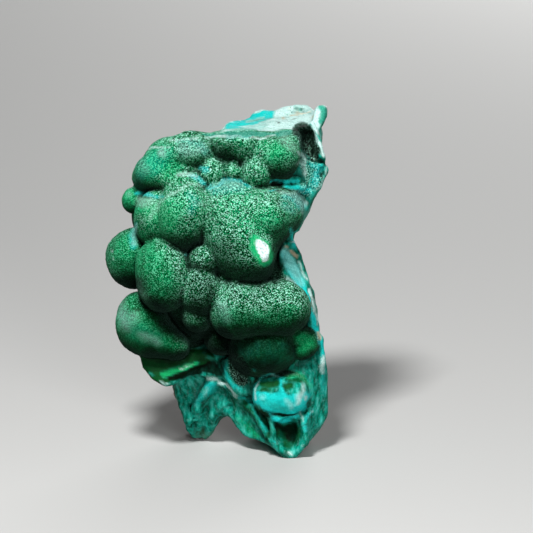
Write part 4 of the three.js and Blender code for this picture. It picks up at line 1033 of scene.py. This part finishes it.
# velvety crust: deep to bright green, in random patches and with each point's painted light and shade, with tufts that
# are nearly black or tipped with mint
near = attribute("open_near")
shade = maths("ADD", attribute("tone_and_painted_light"), maths("MULTIPLY", maths("SUBTRACT", patchy, 0.5), 0.45))
shade = maths("ADD", shade, maths("MULTIPLY", maths("SUBTRACT", broad, 0.5), 0.45))
velvet_colour = colours(
    shade,
    (0.22, (0.000, 0.045, 0.010)),
    (0.42, (0.001, 0.140, 0.038)),
    (0.60, (0.004, 0.320, 0.110)),
    (0.80, (0.030, 0.600, 0.290)),
)
spread = maths("SUBTRACT", tuft_shade, 0.5)
spread = maths("ADD", spread, maths("MULTIPLY", maths("SUBTRACT", gritty, 0.5), 1.6))
# the mint tips show only where the crust faces the lamp: painted highlight
tips_with_painted_light = maths("MULTIPLY", ramp_between(spread, 0.22, 0.33), attribute("painted_light_facing"))
hidden = ramp_between(maths("SUBTRACT", 0.0, spread), 0.04, 0.20)
# broken rock: teal to blue-green with streaks
streaks = noise(0.9, 5, 0.65, (1.0, 1.0, 0.35))
rock_colour = colours(
    streaks,
    (0.28, (0.000, 0.030, 0.014)),
    (0.42, (0.000, 0.130, 0.076)),
    (0.55, (0.002, 0.340, 0.245)),
    (0.76, (0.090, 0.700, 0.600)),
)
frost = maths("MULTIPLY", ramp_between(noise(1.4, 6, 0.75), 0.50, 0.66), 0.45)
rock_colour = mix(frost, rock_colour, (0.150, 0.560, 0.500, 1))
rust = colours(
    noise(0.55, 6, 0.65),
    (0.30, (0.030, 0.018, 0.010)),
    (0.45, (0.120, 0.060, 0.026)),
    (0.60, (0.260, 0.150, 0.070)),
    (0.75, (0.080, 0.200, 0.140)),
)
rock_colour = mix(attribute("rear"), rock_colour, rust)
colour = mix(attribute("crust"), rock_colour, velvet_colour)

# thin layers of the broken faces, parallel to the crust
layer_phase = maths("ADD", maths("MULTIPLY", attribute("layer"), 8.0), maths("MULTIPLY", patchy, 5.0))
layers = ramp_between(maths("SINE", layer_phase), 0.55, 0.95)
wear = maths("MULTIPLY", maths("SUBTRACT", gritty, 0.5), 0.9)
# painted zones in order; pale is the rock's white and also paints the glint on the dome and a haze of light on lower
# lobes as painted highlight; bright is an emerald green that also paints light onto the corner lobe
ZONES = (
    ("teal", ((0.004, 0.140, 0.090), (0.040, 0.460, 0.320))),
    ("bright", ((0.002, 0.200, 0.050), (0.010, 0.600, 0.210))),
    ("cyan", ((0.001, 0.330, 0.300), (0.015, 0.720, 0.680))),
    ("darkgreen", ((0.001, 0.040, 0.008), (0.003, 0.105, 0.022))),
    ("pale", ((0.220, 0.500, 0.470), (0.760, 0.930, 0.880))),
    ("cream", ((0.360, 0.300, 0.180), (0.800, 0.700, 0.520))),
    ("brown", ((0.060, 0.030, 0.010), (0.240, 0.150, 0.060))),
)
for name, (dark_end, light_end) in ZONES:
    zone_colour = mix(ramp_between(gritty, 0.3, 0.7), (*dark_end, 1), (*light_end, 1))
    cover = maths("ADD", attribute(name), maths("MULTIPLY", wear, attribute(name)), clamp=True)
    colour = mix(cover, colour, zone_colour)
layers = maths("MULTIPLY", layers, maths("SUBTRACT", 1.0, attribute("crust"), clamp=True))
colour = mix(maths("MULTIPLY", layers, 0.35), colour, (0.30, 0.45, 0.42, 1), "MULTIPLY")
specks = maths("MULTIPLY", ramp_between(noise(1.9, 2, 0.6), 0.63, 0.68), attribute("pale"), clamp=True)
colour = mix(maths("MULTIPLY", specks, 0.75), colour, (0.05, 0.22, 0.17, 1))
# the velvety recess and patch take the deepest green of the crust, deepened as painted shade
colour = mix(attribute("velvet_and_painted_shade"), colour, (0.001, 0.030, 0.014, 1))
veined = maths("MAXIMUM", attribute("cyan"), attribute("pale"), clamp=True)
tufted = maths("MAXIMUM", attribute("crust"), maths("MAXIMUM", attribute("velvet_and_painted_shade"), attribute("mottle")))
tufted = maths("MULTIPLY", tufted, attribute("grain"))
bare = maths("MAXIMUM", attribute("teal"), maths("MULTIPLY", attribute("cyan"), 0.5))
bare = maths("MAXIMUM", bare, maths("MAXIMUM", attribute("pale"), attribute("bright")), clamp=True)
tufted = maths("MULTIPLY", tufted, maths("SUBTRACT", 1.0, maths("MULTIPLY", bare, 0.65)))
colour = mix(maths("MULTIPLY", maths("MULTIPLY", hidden, tufted), 0.96), colour, (0.02, 0.04, 0.03, 1), "MULTIPLY")
# painted highlight: mint tips on the tufts that face the lamp, greener on the plain lobes
tip_colour = mix(attribute("plain"), (0.48, 0.98, 0.80, 1), (0.12, 0.72, 0.40, 1))
colour = mix(maths("MULTIPLY", maths("MULTIPLY", tips_with_painted_light, tufted), 0.88), colour, tip_colour)
chipped = mix(ramp_between(noise(3.0, 4), 0.40, 0.52), (0.36, 0.52, 0.50, 1), (0.74, 0.90, 0.89, 1))
colour = mix(attribute("chip"), colour, chipped)
# painted shade under the lobes, in the cavities and in the recess, together with the rock's own black cracks and spots
colour = mix(maths("MULTIPLY", attribute("dark_marks_and_painted_shade"), 0.95), colour, (0.06, 0.08, 0.06, 1), "MULTIPLY")
# painted shade in the creases between the lobes, weaker where veins are painted
painted_crease_shade = maths("MULTIPLY", ramp_between(near, 0.80, 0.30), ramp_between(attribute("crust"), -0.9, 0.6))
painted_crease_shade = maths("MULTIPLY", painted_crease_shade, maths("SUBTRACT", 1.0, maths("MULTIPLY", veined, 0.7), clamp=True))
colour = mix(maths("MULTIPLY", painted_crease_shade, 0.85), colour, (0.06, 0.12, 0.09, 1), "MULTIPLY")
# painted shadow, mostly on the crust, where it faces down or is hidden from the lamp; lifted where bright green and
# veins are painted, as painted light
shadow = maths("MAXIMUM", attribute("painted_shelter_shade"), attribute("painted_underside_shade"))
shadow = maths("MULTIPLY", shadow, ramp_between(attribute("crust"), -0.6, 0.7))
cleared = maths("MULTIPLY", maths("MAXIMUM", attribute("bright"), veined), 0.8)
shadow = maths("MULTIPLY", shadow, maths("SUBTRACT", 1.0, cleared, clamp=True))
colour = mix(maths("MULTIPLY", shadow, 0.95), colour, (0.06, 0.11, 0.07, 1), "MULTIPLY")
plug(shader.inputs["Base Color"], colour)

crust_cover = attribute("crust")
plug(shader.inputs["Roughness"], maths("MULTIPLY_ADD", crust_cover, 0.30))
shader.inputs["Roughness"].links[0].from_node.inputs[2].default_value = 0.48
plug(shader.inputs["Sheen Weight"], maths("MULTIPLY", crust_cover, 0.06))
plug(shader.inputs["Sheen Roughness"], 0.4)
plug(shader.inputs["Sheen Tint"], (0.45, 1.0, 0.78, 1))
plug(shader.inputs["Specular IOR Level"], maths("SUBTRACT", 0.04, maths("MULTIPLY", crust_cover, 0.03)))

relief = maths("MULTIPLY", maths("SUBTRACT", 0.5, tuft_height), crust_cover)
grain_bump = node("ShaderNodeBump")
plug(grain_bump.inputs["Height"], relief)
plug(grain_bump.inputs["Strength"], 0.9)
plug(grain_bump.inputs["Distance"], 0.00016)
rough_bump = node("ShaderNodeBump")
plug(rough_bump.inputs["Height"], maths("ADD", noise(1.6, 6, 0.7), maths("MULTIPLY", streaks, 0.8)))
plug(rough_bump.inputs["Strength"], 0.4)
plug(rough_bump.inputs["Distance"], 0.0004)
plug(rough_bump.inputs["Normal"], grain_bump.outputs[0])
plug(shader.inputs["Normal"], rough_bump.outputs[0])
mesh.materials.append(material)

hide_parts("malachite_specimen")
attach(stone_object, "root")

# ---------------------------------------------------------------- floor, light and camera
floor_mesh = bpy.data.meshes.new("floor")
floor_mesh.from_pydata([(-3, -3, 0), (3, -3, 0), (3, 3, 0), (-3, 3, 0)], [], [(0, 1, 2, 3)])
floor = bpy.data.objects.new("floor", floor_mesh)
bpy.context.scene.collection.objects.link(floor)
floor_material = bpy.data.materials.new("floor")
floor_material.use_nodes = True
floor_shader = floor_material.node_tree.nodes["Principled BSDF"]
floor_shader.inputs["Base Color"].default_value = (0.50, 0.50, 0.49, 1)
floor_shader.inputs["Roughness"].default_value = 0.9
floor_mesh.materials.append(floor_material)


def area_light(name, position, target, size, power, colour=(1, 1, 1)):
    light = bpy.data.lights.new(name, "AREA")
    light.shape = "DISK"
    light.size = size
    light.energy = power
    light.color = colour
    holder = bpy.data.objects.new(name, light)
    holder.location = position
    holder.rotation_euler = (Vector(target) - Vector(position)).to_track_quat("-Z", "Y").to_euler()
    bpy.context.scene.collection.objects.link(holder)


area_light("key", (-0.08, -0.23, 0.40), (0, 0, 0.03), 0.09, 2.6)
area_light("fill", (0.12, -0.42, 0.14), (0, 0, 0.025), 0.16, 0.9)
area_light("back", (0.18, 0.50, 0.14), (0, 0, 0.03), 0.30, 1.6)

bpy.context.scene.view_settings.view_transform = "Standard"
world = bpy.data.worlds.new("studio")
world.use_nodes = True
world.node_tree.nodes["Background"].inputs["Color"].default_value = (0.8, 0.84, 0.9, 1)
world.node_tree.nodes["Background"].inputs["Strength"].default_value = 0.03
bpy.context.scene.world = world

DISTANCE = 1500.0              # mm from the camera to the stone
FRAME_WIDTH = 91.9             # mm across the frame at that distance
AIM = np.array([[8.53, -2.0, 33.28]])   # upright frame

camera_data = bpy.data.cameras.new("camera")
camera_data.sensor_width = 36
camera_data.lens = 36 * DISTANCE / FRAME_WIDTH
camera_data.clip_start = 0.01
camera = bpy.data.objects.new("camera", camera_data)
aim_y = AIM[0, 2] * SIN + AIM[0, 1] * COS - MIDDLE_Y
aim_z = AIM[0, 2] * COS - AIM[0, 1] * SIN
camera.location = (
    AIM[0, 0] / 1000,
    (aim_y - DISTANCE * COS) / 1000,
    (aim_z + DISTANCE * SIN) / 1000,
)
camera.rotation_euler = (math.pi / 2 - LEAN, 0, 0)
bpy.context.scene.collection.objects.link(camera)
bpy.context.scene.camera = camera
